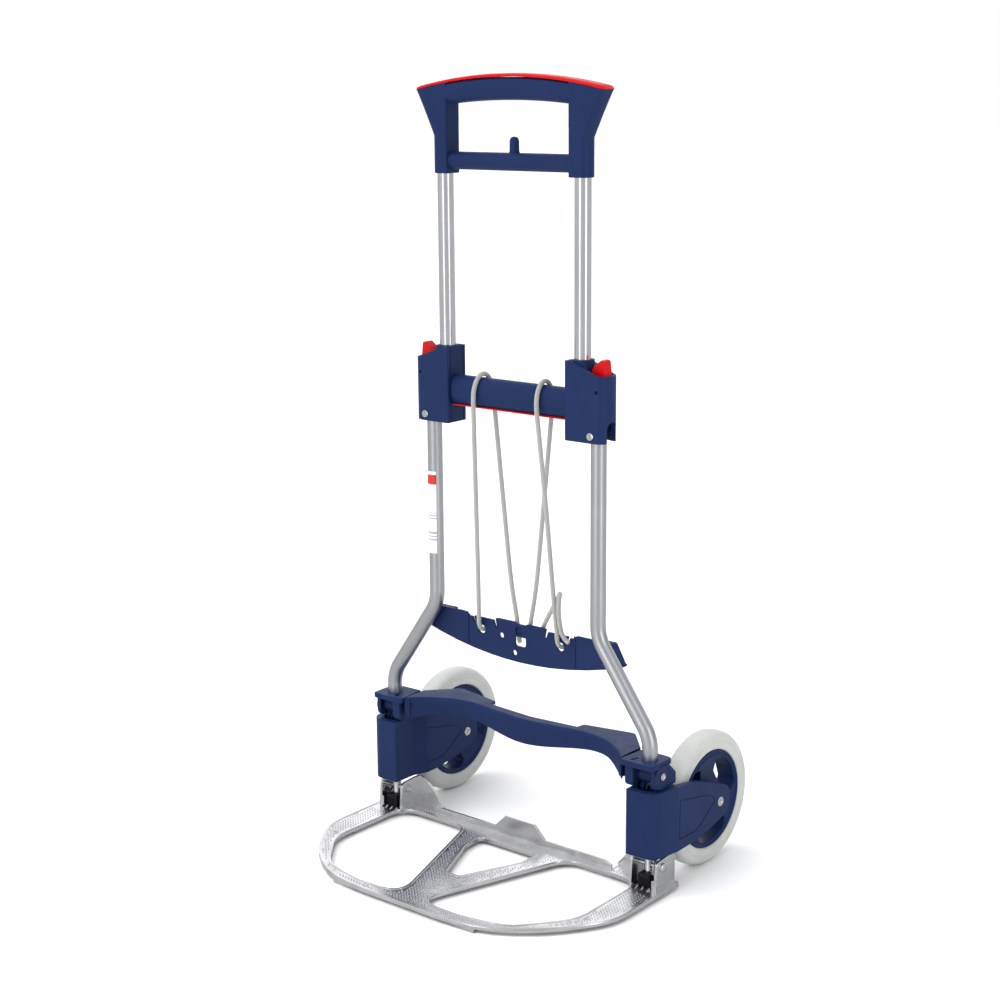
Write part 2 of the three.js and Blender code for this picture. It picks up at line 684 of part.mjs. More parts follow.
function tyre() {
  const profile = [
    [RIM_R, -13],
    [RIM_R + 7, -TYRE_HALF],
    [WHEEL_R - 6, -TYRE_HALF + 1],
    [WHEEL_R, -7],
    [WHEEL_R, 7],
    [WHEEL_R - 6, TYRE_HALF - 1],
    [RIM_R + 7, TYRE_HALF],
    [RIM_R, 13],
    [RIM_R, -13],
  ];
  return turnX(profile, 42).translate(SIDE_X, WHEEL_Y, WHEEL_R);
}

// ---------------------------------------------------------------- toe plate
function toePlate() {
  const { halfX, frontY, backY } = PLATE;
  const edge = [
    [150, 10],
    [150, backY],
    [halfX, backY, 2],
    [halfX, -112, 40],
    [198, -182, 60],
    [128, frontY + 4, 30],
    [60, frontY],
  ];
  const window = [
    [202, -3, 30],
    [204, -138, 60],
    [150, -206, 60],
    [84, -218, 50],
    [14, -218, 28],
    [88, -3, 32],
  ];
  const openings = [
    outline(window),
    outline(window.map(([u, v, r]) => [-u, v, r])),
    outline(mirrored([[11, -132, 7], [46, -50, 5], [49, -17, 10]])),
  ].map((hole) => slabXY(hole, -1, PLATE_TOP + 1, 4));
  const plate = slabXY(outline(mirrored(edge)), PLATE_LIP, PLATE_TOP, 4);
  const fitting = [1, -1].flatMap((s) => {
    const cheek = [[-15, 5], [28, 5], [28, 50, 3], [14, 50, 3], [-15, 47, 6]];
    const gusset = [
      [150, 5],
      [150, 12],
      [169, 35, 6],
      [179, 43, 4],
      [192, 50, 3],
      [CHEEK.innerFace, 50],
      [CHEEK.innerFace, 5],
    ];
    return [
      slabYZ(outline(cheek), ...span(s * CHEEK.outerFace, s * CHEEK.outer), 3),
      slabYZ(outline(cheek), ...span(s * CHEEK.inner, s * CHEEK.innerFace), 3),
      slabXZ(outline(gusset.map(([u, v, r]) => [s * u, v, r])), 24.5, 28, 3),
    ];
  });
  // the low wall along the back edge, with a tab in its middle
  const wall = outline(mirrored([[152, 6], [152, 15], [140, 20], [43, 20, 3], [25, 38, 3]]));
  const backWall = slabXZ(wall, 7, 10.5, 3);
  // underside: a rail near the front edge and two runners that stand on the floor
  const rail = box(-118, 118, -231, -223, 0, PLATE_LIP + 0.5);
  const runners = [1, -1].map((s) => box(...span(s * 209, s * 234), -110, -30, 0, PLATE_LIP + 0.5));
  const body = join(plate, ...fitting, backWall, rail, ...runners);
  return cut(
    body,
    ...openings,
    // the gap between each pair of cheeks, open to the rear
    box(CHEEK.innerFace, CHEEK.outerFace, -14.5, 40, -1, 60),
    box(-CHEEK.outerFace, -CHEEK.innerFace, -14.5, 40, -1, 60),
    rodX(0, HINGE_Z, 3 + GAP, -250, 250, 12),
  );
}

const hexX = (r, x0, x1) => rodX(0, HINGE_Z, r, x0, x1, 6);
const pivotBolt = () =>
  join(
    rodX(0, HINGE_Z, 3, CHEEK.inner - 6, CHEEK.outer + 0.5, 12),
    hexX(5.5, CHEEK.outer + GAP, CHEEK.outer + 3.5),
  );
const pivotNut = () =>
  cut(
    solid(hexX(5.5, CHEEK.inner - 4.5, CHEEK.inner - GAP)),
    rodX(0, HINGE_Z, 3 + GAP, 180, 200, 12),
  );

// ---------------------------------------------------------------- elastic cords
// From its end behind the hook bar, up and over the cross tube, down in front and through the bar's hole.
function elasticCord() {
  const route = [
    [7, 18.5, 284],
    [12, 18.5, 318],
    [20, 18.5, 360],
    [34, 18.5, 480],
    [45, 18.5, 580],
    [48, 18.6, 608],
    [49, 17.6, 622],
    [49.6, 13.2, 633],
    [50, 6.5, 640],
    [50.2, 0, 641.6],
    [50.4, -6.5, 640],
    [50.8, -13.2, 633],
    [51.2, -17.6, 622],
    [51.6, -18.6, 608],
    [53, -16.5, 580],
    [58, -8, 480],
    [63, 1, 360],
    [65.3, 4.4, 316],
    [65.8, 5.6, 302],
    [66, 9.4, 295.3],
    [66, 15, 292.4],
    [66, 22, 291.8],
  ];
  return sweep(ringShape(CORD_R, 0, 8), smoothStations(route, 2));
}

// The short spare end: from behind the bar, up into a tight loop and down to the hook in front.
function tieLoop() {
  const route = [
    [24, 19, 290],
    [33, 19, 314],
    [48, 17.5, 340],
    [62, 12, 359],
    [70, 5, 367],
    [73.5, -1, 362],
    [73, -1.5, 348],
    [72.5, 1, 330],
    [74, 4.5, 314],
    [78, 6.8, 306],
    [83, 7.3, 303],
  ];
  return sweep(ringShape(CORD_R, 0, 8), smoothStations(route, 2));
}

function tubeLabel() {
  const arc = new THREE.Shape();
  const [from, to] = [1.15 * Math.PI, 1.75 * Math.PI];
  arc.absarc(0, 0, LOWER_R + 2 * GAP, from, to, false);
  arc.absarc(0, 0, LOWER_R + GAP, to, from, true);
  arc.closePath();
  return slabXY(arc, 392, 504, 8).translate(-LOWER_TOP_X, 0, 0);
}

// ---------------------------------------------------------------- the assembly
addPair("lower_tube", lowerTube(), TUBE_ALU);
addPair("upper_tube", upperTube(), TUBE_ALU);
addPair("upper_tube_plug", tubePlug(), BLACK);
add("handle_grip", handleGrip(), NAVY);
add("handle_grip_strip", handleGripStrip(), RED);
addPair("latch_housing", latchHousing(), NAVY);
addPair("housing_rivet", headedPinY(LOWER_TOP_X, RIVET_Z, 3, 5, 1.2, HOUSING.halfY + GAP), STEEL);
addPair("lever_pin", rodY(LEVER_PIN.x, LEVER_PIN.z, LEVER_PIN.r, -14, 14, 10), STEEL);
addPair("release_lever", releaseLever(), RED);
addPair("lever_spring", leverSpring(), STEEL);
add("mid_crossbar", midCrossbar(), NAVY);
add("mid_crossbar_strip", midCrossbarStrip(), RED);
add("hook_bar", hookBar(), NAVY);
const hookBarScrew = join(
  rodY(126, 295, 3, HOOK.front + 0.5, HOOK.back + 1, 12),
  rodY(126, 295, 5.5, HOOK.back + GAP, HOOK.back + 3, 14),
);
addPair("hook_bar_screw", hookBarScrew, STEEL);
add("lower_crossbar", lowerCrossbar(), NAVY);
addPair("knuckle", knuckle(), NAVY);
addPair("pivot_fitting", pivotFitting(), BLACK);
addPair("knuckle_pin", knucklePin(), STEEL);
addPair("pivot_post", pivotPost(), STEEL);
addPair("foot_block", footBlock(), BLACK);
addPair("wheel_carrier", wheelCarrier(), NAVY);
addPair("carrier_gear", carrierGear(), NAVY);
addPair("axle", axle(), STEEL);
addPair("wheel_bush", wheelBush(), BLACK);
addPair("wheel_rim", wheelRim(), NAVY);
addPair("tyre", tyre(), TYRE_GREY);
add("toe_plate", toePlate(), PLATE_ALU);
addPair("plate_gear", plateGear(), PLATE_ALU);
addPair("pivot_bolt", pivotBolt(), STEEL);
addPair("pivot_nut", pivotNut(), STEEL);
addPair("elastic_cord", elasticCord(), CORD_GREY);
add("tie_loop", tieLoop(), CORD_GREY);
add("tube_label", tubeLabel(), LABEL);

export default truck;
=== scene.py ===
"""The look of a folding hand truck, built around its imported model. Sizes are in millimetres, and a mesh
is turned into metres when it becomes a piece. Only the lamps and the grain of the materials are in metres."""
import math
import random

import bmesh
import bpy
from mathutils import Matrix, Vector
from mathutils.geometry import delaunay_2d_cdt


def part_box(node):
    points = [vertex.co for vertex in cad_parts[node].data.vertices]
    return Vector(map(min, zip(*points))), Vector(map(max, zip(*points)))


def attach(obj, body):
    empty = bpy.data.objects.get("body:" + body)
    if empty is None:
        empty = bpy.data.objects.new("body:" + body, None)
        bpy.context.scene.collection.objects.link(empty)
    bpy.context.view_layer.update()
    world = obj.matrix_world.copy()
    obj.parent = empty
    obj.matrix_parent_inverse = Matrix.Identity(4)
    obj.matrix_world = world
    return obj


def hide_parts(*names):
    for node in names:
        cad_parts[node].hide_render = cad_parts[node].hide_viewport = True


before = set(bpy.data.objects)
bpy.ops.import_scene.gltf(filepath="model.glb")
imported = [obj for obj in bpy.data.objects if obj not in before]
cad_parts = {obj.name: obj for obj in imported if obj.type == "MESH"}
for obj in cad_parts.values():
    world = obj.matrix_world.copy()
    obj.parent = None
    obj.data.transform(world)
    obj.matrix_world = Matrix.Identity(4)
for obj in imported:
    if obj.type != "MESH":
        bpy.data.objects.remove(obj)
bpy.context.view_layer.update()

MM = 0.001
SIDES = {"right": 1, "left": -1}


def cad_box(node):
    """A CAD node's lowest and highest corner in millimetres."""
    low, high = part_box(node)
    return low / MM, high / MM


# ------------------------------------------------------------------ driving sizes, those of the CAD
_low, _high = cad_box("upper_tube_right")
TY = (_low.y + _high.y) / 2  # the tubes' plane
UPPER_X = (_low.x + _high.x) / 2
UPPER_R = (_high.x - _low.x) / 2
_low, _high = cad_box("pivot_post_right")
SIDE_X = (_low.x + _high.x) / 2
_low, _high = cad_box("tyre_right")
WHEEL_Y = (_low.y + _high.y) / 2 - TY
AXLE_Z = 90.0
HINGE_Z = 37.5
LOWER_X = 134.5
LOWER_R = 10.0
SLIDE_GAP, FIT_GAP = 0.5, 0.4  # round a tube that slides, and round one that sits still
POST_R, POST_BORE = 5.5, 5.8
BOLT_BORE = 3.3  # for the plate's bolts and the knuckles' pins

# ------------------------------------------------------------------ camera
CAMERA = {
    "azimuth": 39.3,
    "pitch": 12.85,
    "roll": -0.46,
    "place": (1455, -1794, 1011),
    "lens": 66.4,
}


def make_camera():
    data = bpy.data.cameras.new("camera")
    data.lens, data.sensor_width = CAMERA["lens"], 36
    data.clip_start, data.clip_end = 0.05, 50
    camera = bpy.data.objects.new("camera", data)
    bpy.context.scene.collection.objects.link(camera)
    a, p, r = (math.radians(CAMERA[k]) for k in ("azimuth", "pitch", "roll"))
    ahead = Vector((-math.sin(a) * math.cos(p), math.cos(a) * math.cos(p), -math.sin(p)))
    right = Vector((math.cos(a), math.sin(a), 0))
    up = right.cross(ahead)
    x = right * math.cos(r) + up * math.sin(r)
    y = up * math.cos(r) - right * math.sin(r)
    turn = Matrix((x, y, -ahead)).transposed()
    camera.matrix_world = Matrix.Translation(Vector(CAMERA["place"]) * MM) @ turn.to_4x4()
    bpy.context.scene.camera = camera


make_camera()


# ------------------------------------------------------------------ materials
class Nodes:
    """Short names for building a material's nodes."""

    def __init__(self, name):
        self.material = bpy.data.materials.new(name)
        self.material.use_nodes = True
        self.tree = self.material.node_tree
        self.shader = self.tree.nodes["Principled BSDF"]
        self.place = self.tree.nodes.new("ShaderNodeTexCoord").outputs["Object"]

    def make(self, kind, **settings):
        node = self.tree.nodes.new(kind)
        for key, value in settings.items():
            if key in node.inputs:
                node.inputs[key].default_value = value
            else:
                setattr(node, key, value)
        return node

    def link(self, a, b):
        self.tree.links.new(a, b)

    def scaled(self, scale):
        node = self.make("ShaderNodeMapping")
        node.inputs["Scale"].default_value = scale
        self.link(self.place, node.inputs["Vector"])
        return node.outputs["Vector"]

    def noise(self, scale, detail=3.0, rough=0.5, stretch=None):
        node = self.make("ShaderNodeTexNoise", Scale=scale, Detail=detail, Roughness=rough)
        self.link(self.scaled(stretch) if stretch else self.place, node.inputs["Vector"])
        return node.outputs["Fac"]

    def ramp(self, value, stops):
        node = self.make("ShaderNodeValToRGB")
        bar = node.color_ramp
        for i, (at, color) in enumerate(stops):
            stop = bar.elements[i] if i < 2 else bar.elements.new(at)
            stop.position = at
            stop.color = (*color, 1)
        self.link(value, node.inputs["Fac"])
        return node.outputs["Color"]

    def grey(self, value, low, high):
        return self.ramp(value, [(0.3, (low,) * 3), (0.7, (high,) * 3)])

    def bump(self, value, strength, distance, under=None):
        node = self.make("ShaderNodeBump", Strength=strength, Distance=distance)
        self.link(value, node.inputs["Height"])
        if under:
            self.link(under, node.inputs["Normal"])
        return node.outputs["Normal"]

    def set(self, **values):
        for key, value in values.items():
            self.shader.inputs[key.replace("_", " ")].default_value = value
        return self

    def to(self, name, output):
        self.link(output, self.shader.inputs[name])
        return self


def tone(color, share):
    return tuple(min(1.0, c * share) for c in color)


def moulded(name, color, roughness, grain=0.25, wear=0.12, coat=0.0):
    """Injection-moulded plastic: fine spark-eroded grain, faint flow marks and paler rubbed patches."""
    n = Nodes(name).set(Coat_Weight=coat, Coat_Roughness=0.25, Specular_IOR_Level=0.15)
    rubbed = n.noise(9, 5, 0.6)
    stops = [(0.25, tone(color, 1 - wear)), (0.55, color), (0.85, tone(color, 1 + 2 * wear))]
    n.to("Base Color", n.ramp(rubbed, stops))
    n.to("Roughness", n.grey(n.noise(60, 4, 0.6), roughness - 0.05, roughness + 0.07))
    fine = n.bump(n.noise(2600, 2, 0.6), grain, 0.00012)
    n.to("Normal", n.bump(n.noise(42, 3, 0.5), 0.10, 0.0006, fine))
    return n.material


def drawn_metal(name, color, roughness, stretch, streak=0.35):
    """Drawn or ground metal: long fine streaks along the draw, and a slow change of gloss."""
    n = Nodes(name).set(Metallic=1.0)
    lines = n.noise(1.0, 4, 0.65, stretch)
    cloud = n.noise(14, 4, 0.6)
    n.to("Base Color", n.ramp(cloud, [(0.3, tone(color, 0.93)), (0.7, tone(color, 1.04))]))
    n.to("Roughness", n.grey(lines, roughness - 0.07, roughness + 0.1))
    n.to("Normal", n.bump(lines, streak, 0.00005))
    return n.material


def cast_metal(name, color, roughness):
    """Bright tumbled casting: a shallow orange-peel skin with small pits and clouded gloss."""
    n = Nodes(name).set(Metallic=1.0)
    skin = n.noise(520, 4, 0.6)
    cloud = n.noise(22, 5, 0.62)
    n.to("Base Color", n.ramp(cloud, [(0.25, tone(color, 0.8)), (0.6, color), (0.85, tone(color, 1.08))]))
    n.to("Roughness", n.grey(cloud, roughness + 0.10, roughness - 0.05))
    n.to("Normal", n.bump(skin, 0.22, 0.00025))
    return n.material


def rubber(name, color):
    """Matt rubber with a fine tooth and faint darker scuffs."""
    n = Nodes(name).set(Sheen_Weight=0.12, Sheen_Roughness=0.6)
    cloud = n.noise(30, 5, 0.65)
    n.to("Base Color", n.ramp(cloud, [(0.2, tone(color, 0.86)), (0.55, color), (0.85, tone(color, 1.05))]))
    n.to("Roughness", n.grey(n.noise(240, 3, 0.6), 0.58, 0.78))
    n.to("Normal", n.bump(n.noise(1500, 3, 0.6), 0.3, 0.00015))
    return n.material


def braid(name, color):
    """Braided sleeve: two crossing sets of fine helical yarns, as diamonds round the cord."""
    n = Nodes(name).set(Sheen_Weight=0.3, Sheen_Roughness=0.5)
    waves = []
    for way in (1, -1):
        wave = n.make("ShaderNodeTexWave", wave_type="BANDS", bands_direction="DIAGONAL",
                      Scale=430.0, Distortion=0.4)
        n.link(n.scaled((way, way, 1)), wave.inputs["Vector"])
        waves.append(wave.outputs["Fac"])
    both = n.make("ShaderNodeMath", operation="MULTIPLY")
    n.link(waves[0], both.inputs[0])
    n.link(waves[1], both.inputs[1])
    stops = [(0.0, tone(color, 0.72)), (0.5, color), (1.0, tone(color, 1.12))]
    n.to("Base Color", n.ramp(both.outputs[0], stops))
    n.set(Roughness=0.75)
    n.to("Normal", n.bump(both.outputs[0], 0.55, 0.00035))
    return n.material


def printed_label(low_z, high_z):
    """White film with a red block at its head and pale grey bars: no lettering."""
    n = Nodes("label_film").set(Roughness=0.35, Coat_Weight=0.3, Coat_Roughness=0.1)
    split = n.make("ShaderNodeSeparateXYZ")
    n.link(n.place, split.inputs["Vector"])
    along = n.make("ShaderNodeMapRange")
    n.link(split.outputs["Z"], along.inputs["Value"])
    for key, value in zip(("From Min", "From Max"), (low_z, high_z)):
        along.inputs[key].default_value = value
    white, red, ink = (0.86, 0.86, 0.85), (0.62, 0.01, 0.015), (0.30, 0.31, 0.33)
    bands = [(0, white), (0.16, ink), (0.175, white), (0.20, ink), (0.212, white), (0.24, ink), (0.26, white)]
    bands += [(0.42, ink), (0.432, white), (0.455, ink), (0.467, white), (0.49, ink), (0.50, white)]
    bands += [(0.70, (0.6, 0.6, 0.6)), (0.706, white), (0.84, red), (0.96, white)]
    paint = n.ramp(along.outputs["Result"], bands)
    n.tree.nodes[-1].color_ramp.interpolation = "CONSTANT"
    n.to("Base Color", paint)
    return n.material


NAVY_COLOR = (0.009, 0.023, 0.085)
LOOK = {
    "navy": moulded("navy_plastic", NAVY_COLOR, 0.42),
    # the same navy plastic, a little smoother, darkened to 0.82 as painted shade for parts tucked between
    # cheeks and inside the carriers
    "navy_painted_shade": moulded("navy_plastic_smooth_painted_shade", tone(NAVY_COLOR, 0.82), 0.36, 0.12),
    "red": moulded("red_plastic", (0.56, 0.004, 0.006), 0.36, 0.08, 0.06, 0.03),
    "black": moulded("black_plastic", (0.012, 0.012, 0.014), 0.5),
    "tube": drawn_metal("tube_aluminium", (0.76, 0.77, 0.79), 0.17, (900, 900, 3), 0.05),
    "side_tube": drawn_metal("satin_aluminium", (0.60, 0.615, 0.635), 0.34, (900, 900, 3), 0.08),
    "cast": cast_metal("plate_aluminium", (0.86, 0.862, 0.865), 0.21),
    "cast_gear": cast_metal("gear_aluminium", (0.62, 0.63, 0.64), 0.26),
    "zinc": drawn_metal("zinc_steel", (0.72, 0.73, 0.73), 0.24, (300, 300, 300), 0.2),
    "post": drawn_metal("post_steel", (0.80, 0.80, 0.82), 0.12, (200, 200, 600), 0.15),
    "tyre": rubber("tyre_rubber", (0.52, 0.53, 0.51)),
    "cord": braid("cord_sleeve", (0.45, 0.45, 0.43)),
}


# ------------------------------------------------------------------ outlines
def corners(points):
    """A closed outline through corners (u, v, radius): a corner with a radius is bent round in steps."""
    line = []
    for i, (u, v, *rest) in enumerate(points):
        r = rest[0] if rest else 0
        here, last = Vector((u, v)), Vector(points[i - 1][:2])
        after = Vector(points[(i + 1) % len(points)][:2])
        if r <= 0:
            line.append((u, v))
            continue
        back, ahead = (last - here).normalized(), (after - here).normalized()
        half = math.acos(max(-1, min(1, back.dot(ahead)))) / 2
        reach = r / math.tan(half)
        start, end = here + back * reach, here + ahead * reach
        steps = max(3, int((math.pi - 2 * half) / math.radians(11)))
        for k in range(steps + 1):
            t = k / steps
            p = start * (1 - t) ** 2 + here * 2 * t * (1 - t) + end * t * t
            line.append((p.x, p.y))
    return line


def oblong(u0, v0, u1, v1, near=0, far=None):
    """A rectangle's outline, with one radius at its u0 corners and perhaps another at its u1 ones."""
    far = near if far is None else far
    return corners([(u0, v0, near), (u1, v0, far), (u1, v1, far), (u0, v1, near)])


def mirrored(half):
    return list(half) + [(-u, v, *rest) for u, v, *rest in reversed(half)]


def smooth(points, steps):
    """Points along an open centripetal Catmull-Rom curve through the given points."""
    p = [Vector(q) for q in points]
    n = len(p)
    out = []
    for i in range(n - 1):
        b, c = p[i], p[i + 1]
        a = p[i - 1] if i else b * 2 - c
        d = p[i + 2] if i + 2 < n else c * 2 - b
        t = [0.0]
        for x, y in ((a, b), (b, c), (c, d)):
            t.append(t[-1] + max((y - x).length, 1e-6) ** 0.5)
        for k in range(steps):
            s = t[1] + (t[2] - t[1]) * k / steps
            a1 = a * ((t[1] - s) / (t[1] - t[0])) + b * ((s - t[0]) / (t[1] - t[0]))
            a2 = b * ((t[2] - s) / (t[2] - t[1])) + c * ((s - t[1]) / (t[2] - t[1]))
            a3 = c * ((t[3] - s) / (t[3] - t[2])) + d * ((s - t[2]) / (t[3] - t[2]))
            b1 = a1 * ((t[2] - s) / (t[2] - t[0])) + a2 * ((s - t[0]) / (t[2] - t[0]))
            b2 = a2 * ((t[3] - s) / (t[3] - t[1])) + a3 * ((s - t[1]) / (t[3] - t[1]))
            out.append(tuple(b1 * ((t[2] - s) / (t[2] - t[1])) + b2 * ((s - t[1]) / (t[2] - t[1]))))
    out.append(tuple(p[-1]))
    return out


def bulged(q, power):
    """A cosine or sine raised to a power with its sign kept: below 1 it squares a circle's shoulders."""
    return math.copysign(abs(q) ** power, q)


def area(line):
    return sum(line[i - 1][0] * line[i][1] - line[i][0] * line[i - 1][1] for i in range(len(line))) / 2


def circle(u, v, r, count=24):
    turns = [2 * math.pi * i / count for i in range(count)]
    return [(u + r * math.cos(t), v + r * math.sin(t)) for t in turns]


def leftward(line):
    """The outline in the order that keeps its inside on the left."""
    return line if area(line) > 0 else line[::-1]


def inset(line, by):
    """The outline moved inwards, along its corners' own bisectors."""
    out = []
    for i, here in enumerate(line):
        h, a, b = Vector(here), Vector(line[i - 1]), Vector(line[(i + 1) % len(line)])
        e1, e2 = (h - a).normalized(), (b - h).normalized()
        n1, n2 = Vector((-e1.y, e1.x)), Vector((-e2.y, e2.x))
        n = n1 + n2
        n = n / max(n.dot(n1), 0.4) if n.length > 1e-6 else n1
        out.append(tuple(h + n * by))
    return out


def bordered(points, by):
    """An outline through corners, and the same corners moved inwards before they are rounded."""
    points = leftward([tuple(q) for q in points])
    radii = [q[2] if len(q) > 2 else 0 for q in points]
    spots = inset([q[:2] for q in points], by)
    inner = [(u, v, max(r - by, 0.2) if r else 0) for (u, v), r in zip(spots, radii)]
    return corners(points), corners(inner)


# ------------------------------------------------------------------ meshes as (points, faces), in millimetres
PLANES = {
    "XY": lambda u, v, w: (u, v, w),
    "XZ": lambda u, v, w: (u, w, v),
    "YZ": lambda u, v, w: (w, u, v),
}


def crossings(spot, flat, rims):
    """How many rims a line from the spot towards +u crosses: odd inside an outline, even in a hole."""
    count = 0
    for i, j in rims:
        a, b = flat[i], flat[j]
        if (a.y > spot.y) != (b.y > spot.y):
            count += spot.x < a.x + (spot.y - a.y) * (b.x - a.x) / (b.y - a.y)
    return count


def slab(plane, line, low, high, edge=0.8, holes=(), steps=3):
    """An outline made thick from low to high along the plane's normal, its rims rounded by edge."""
    to = PLANES[plane]
    loops = [leftward(line)]
    loops += [h if area(h) < 0 else h[::-1] for h in holes]
    levels = []
    bends = [k / steps * math.pi / 2 for k in range(steps + 1)] if edge > 0 else []
    for way, at in ((-1, low), (1, high)):
        rim = [(edge * (1 - math.cos(t)), at - way * edge * (1 - math.sin(t))) for t in bends] or [(0, at)]
        levels += rim[::-1] if way < 0 else rim
    points, faces, caps = [], [], []
    for loop in loops:
        n, base = len(loop), len(points)
        for by, w in levels:
            points += [to(u, v, w) for u, v in (inset(loop, by) if by else loop)]
        for k in range(len(levels) - 1):
            for i in range(n):
                j = (i + 1) % n
                a, b = base + k * n, base + (k + 1) * n
                faces.append((a + i, a + j, b + j, b + i))
        caps.append((base, base + (len(levels) - 1) * n, n))
    for which in (0, 1):
        flat, index, rims = [], [], []
        for cap, loop in zip(caps, loops):
            first = len(flat)
            flat += [Vector(q) for q in inset(loop, levels[0 if which == 0 else -1][0])]
            index += [cap[which] + i for i in range(cap[2])]
            rims += [(first + i, first + (i + 1) % cap[2]) for i in range(cap[2])]
        spots, _, tris, whence, _, _ = delaunay_2d_cdt(flat, rims, [], 0, 1e-6)
        for tri in tris:
            middle = sum((spots[i] for i in tri), Vector((0, 0))) / 3
            if all(whence[i] for i in tri) and crossings(middle, flat, rims) % 2:
                faces.append(tuple(index[whence[i][0]] for i in tri))
    return outward(points, faces)


def outward(points, faces):
    bm = bmesh.new()
    made = [bm.verts.new(p) for p in points]
    for f in faces:
        if len(set(f)) > 2:
            try:
                bm.faces.new([made[i] for i in f])
            except ValueError:
                pass
    bmesh.ops.remove_doubles(bm, verts=bm.verts, dist=1e-4)
    bmesh.ops.recalc_face_normals(bm, faces=bm.faces)
    bm.verts.index_update()
    result = ([tuple(v.co) for v in bm.verts], [tuple(v.index for v in f.verts) for f in bm.faces])
    bm.free()
    return result


def loft(rings, closed_ends=True):
    """A skin over rings that have equally many points each."""
    n = len(rings[0])
    points = [p for ring in rings for p in ring]
    faces = [
        (k * n + i, k * n + (i + 1) % n, (k + 1) * n + (i + 1) % n, (k + 1) * n + i)
        for k in range(len(rings) - 1)
        for i in range(n)
    ]
    if closed_ends:
        faces += [tuple(range(n)), tuple(range((len(rings) - 1) * n, len(rings) * n))]
    return outward(points, faces)


def turned(axis, centre, profile, count=48):
    """A closed or axis-ended profile of (radius, height) turned about an axis through centre."""
    points, faces = [], []
    for i in range(count):
        c, s = math.cos(2 * math.pi * i / count), math.sin(2 * math.pi * i / count)
        for r, h in profile:
            x, y, z = {"X": (h, r * c, r * s), "Y": (r * c, h, r * s), "Z": (r * c, r * s, h)}[axis]
            points.append((x + centre[0], y + centre[1], z + centre[2]))
    m = len(profile)
    for i in range(count):
        j = (i + 1) % count
        for k in range(m - 1):
            faces.append((i * m + k, i * m + k + 1, j * m + k + 1, j * m + k))
    return outward(points, faces)


def rod(axis, centre, r, low, high, edge=0.4, count=32):
    e = min(edge, r / 2)
    arc = [(r - e + e * math.sin(t), e - e * math.cos(t)) for t in (0, math.pi / 6, math.pi / 3, math.pi / 2)]
    profile = [(0, low)] + [(q, low + h) for q, h in arc]
    profile += [(q, high - h) for q, h in reversed(arc)] + [(0, high)]
    return turned(axis, centre, profile, count)


def tube(points, r, sides, bore=None):
    """A round skin along a line of points, with a wall if a bore is given."""
    p = [Vector(q) for q in points]
    tangent = [(p[min(i + 1, len(p) - 1)] - p[max(i - 1, 0)]).normalized() for i in range(len(p))]
    side = tangent[0].orthogonal().normalized()
    rings, inner = [], []
    for here, t in zip(p, tangent):
        side = (side - t * side.dot(t)).normalized()
        other = t.cross(side)
        spin = [(math.cos(2 * math.pi * k / sides), math.sin(2 * math.pi * k / sides)) for k in range(sides)]
        rings.append([tuple(here + side * (r * c) + other * (r * s)) for c, s in spin])
        if bore:
            inner.append([tuple(here + side * (bore * c) + other * (bore * s)) for c, s in spin])
    if bore:
        return loft(rings + inner[::-1] + [rings[0]], False)
    return loft(rings, True)


def joined(*parts):
    points, faces = [], []
    for q, f in parts:
        base = len(points)
        points += list(q)
        faces += [tuple(base + i for i in face) for face in f]
    return points, faces


def moved(part, by=(0, 0, 0), flip=False, turn=None):
    """A part shifted, turned by a matrix first, or mirrored in X."""
    points, faces = part
    if turn is not None:
        points = [tuple(turn @ Vector(p)) for p in points]
    points = [tuple(a + b for a, b in zip(p, by)) for p in points]
    if flip:
        points = [(-x, y, z) for x, y, z in points]
        faces = [tuple(reversed(f)) for f in faces]
    return points, faces


def as_object(name, part):
    mesh = bpy.data.meshes.new(name)
    mesh.from_pydata([tuple(c * MM for c in p) for p in part[0]], [], part[1])
    mesh.validate()
    o = bpy.data.objects.new(name, mesh)
    bpy.context.scene.collection.objects.link(o)
    return o


def apply_modifiers(o):
    mesh = bpy.data.meshes.new_from_object(o.evaluated_get(bpy.context.evaluated_depsgraph_get()))
    o.modifiers.clear()
    o.data = mesh


def carved(part, tools=(), adds=(), within=()):
    """The part joined to closed parts, kept to what is within others, and cut by tools, exactly."""
    o = as_object("work", part)
    for operation, others in (("UNION", adds), ("INTERSECT", within), ("DIFFERENCE", tools)):
        for other in others:
            tool = as_object("tool", other)
            m = o.modifiers.new("cut", "BOOLEAN")
            m.operation, m.object, m.solver = operation, tool, "EXACT"
            apply_modifiers(o)
            bpy.data.objects.remove(tool)
    points = [tuple(c / MM for c in v.co) for v in o.data.vertices]
    faces = [tuple(f.vertices) for f in o.data.polygons]
    bpy.data.objects.remove(o)
    if not points:
        raise ValueError("a cut left nothing of a part")
    whole = [q for other in (part, *adds) for q in other[0]]
    for k in range(3):
        low, high = min(q[k] for q in whole), max(q[k] for q in whole)
        if min(q[k] for q in points) < low - 0.01 or max(q[k] for q in points) > high + 0.01:
            raise ValueError("a cut made a part larger, so a mesh that went into it wasn't closed")
    return points, faces


def piece(name, part, look, body, *nodes, bevel=0.0, segments=2, angle=32):
    """A part in the tube plane's frame becomes a finished piece that rides on a body."""
    o = as_object(name, moved(part, (0, TY, 0)))
    o.data.materials.append(LOOK[look])
    if bevel:
        m = o.modifiers.new("bevel", "BEVEL")
        m.width, m.segments = bevel * MM, segments
        m.limit_method, m.angle_limit = "ANGLE", math.radians(angle)
        m.use_clamp_overlap = True
        apply_modifiers(o)
    o.data.shade_smooth()
    o.data.set_sharp_from_angle(angle=math.radians(40))
    w = o.modifiers.new("normals", "WEIGHTED_NORMAL")
    w.keep_sharp, w.weight = True, 80
    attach(o, body)
    if nodes:
        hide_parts(*nodes)
    return o


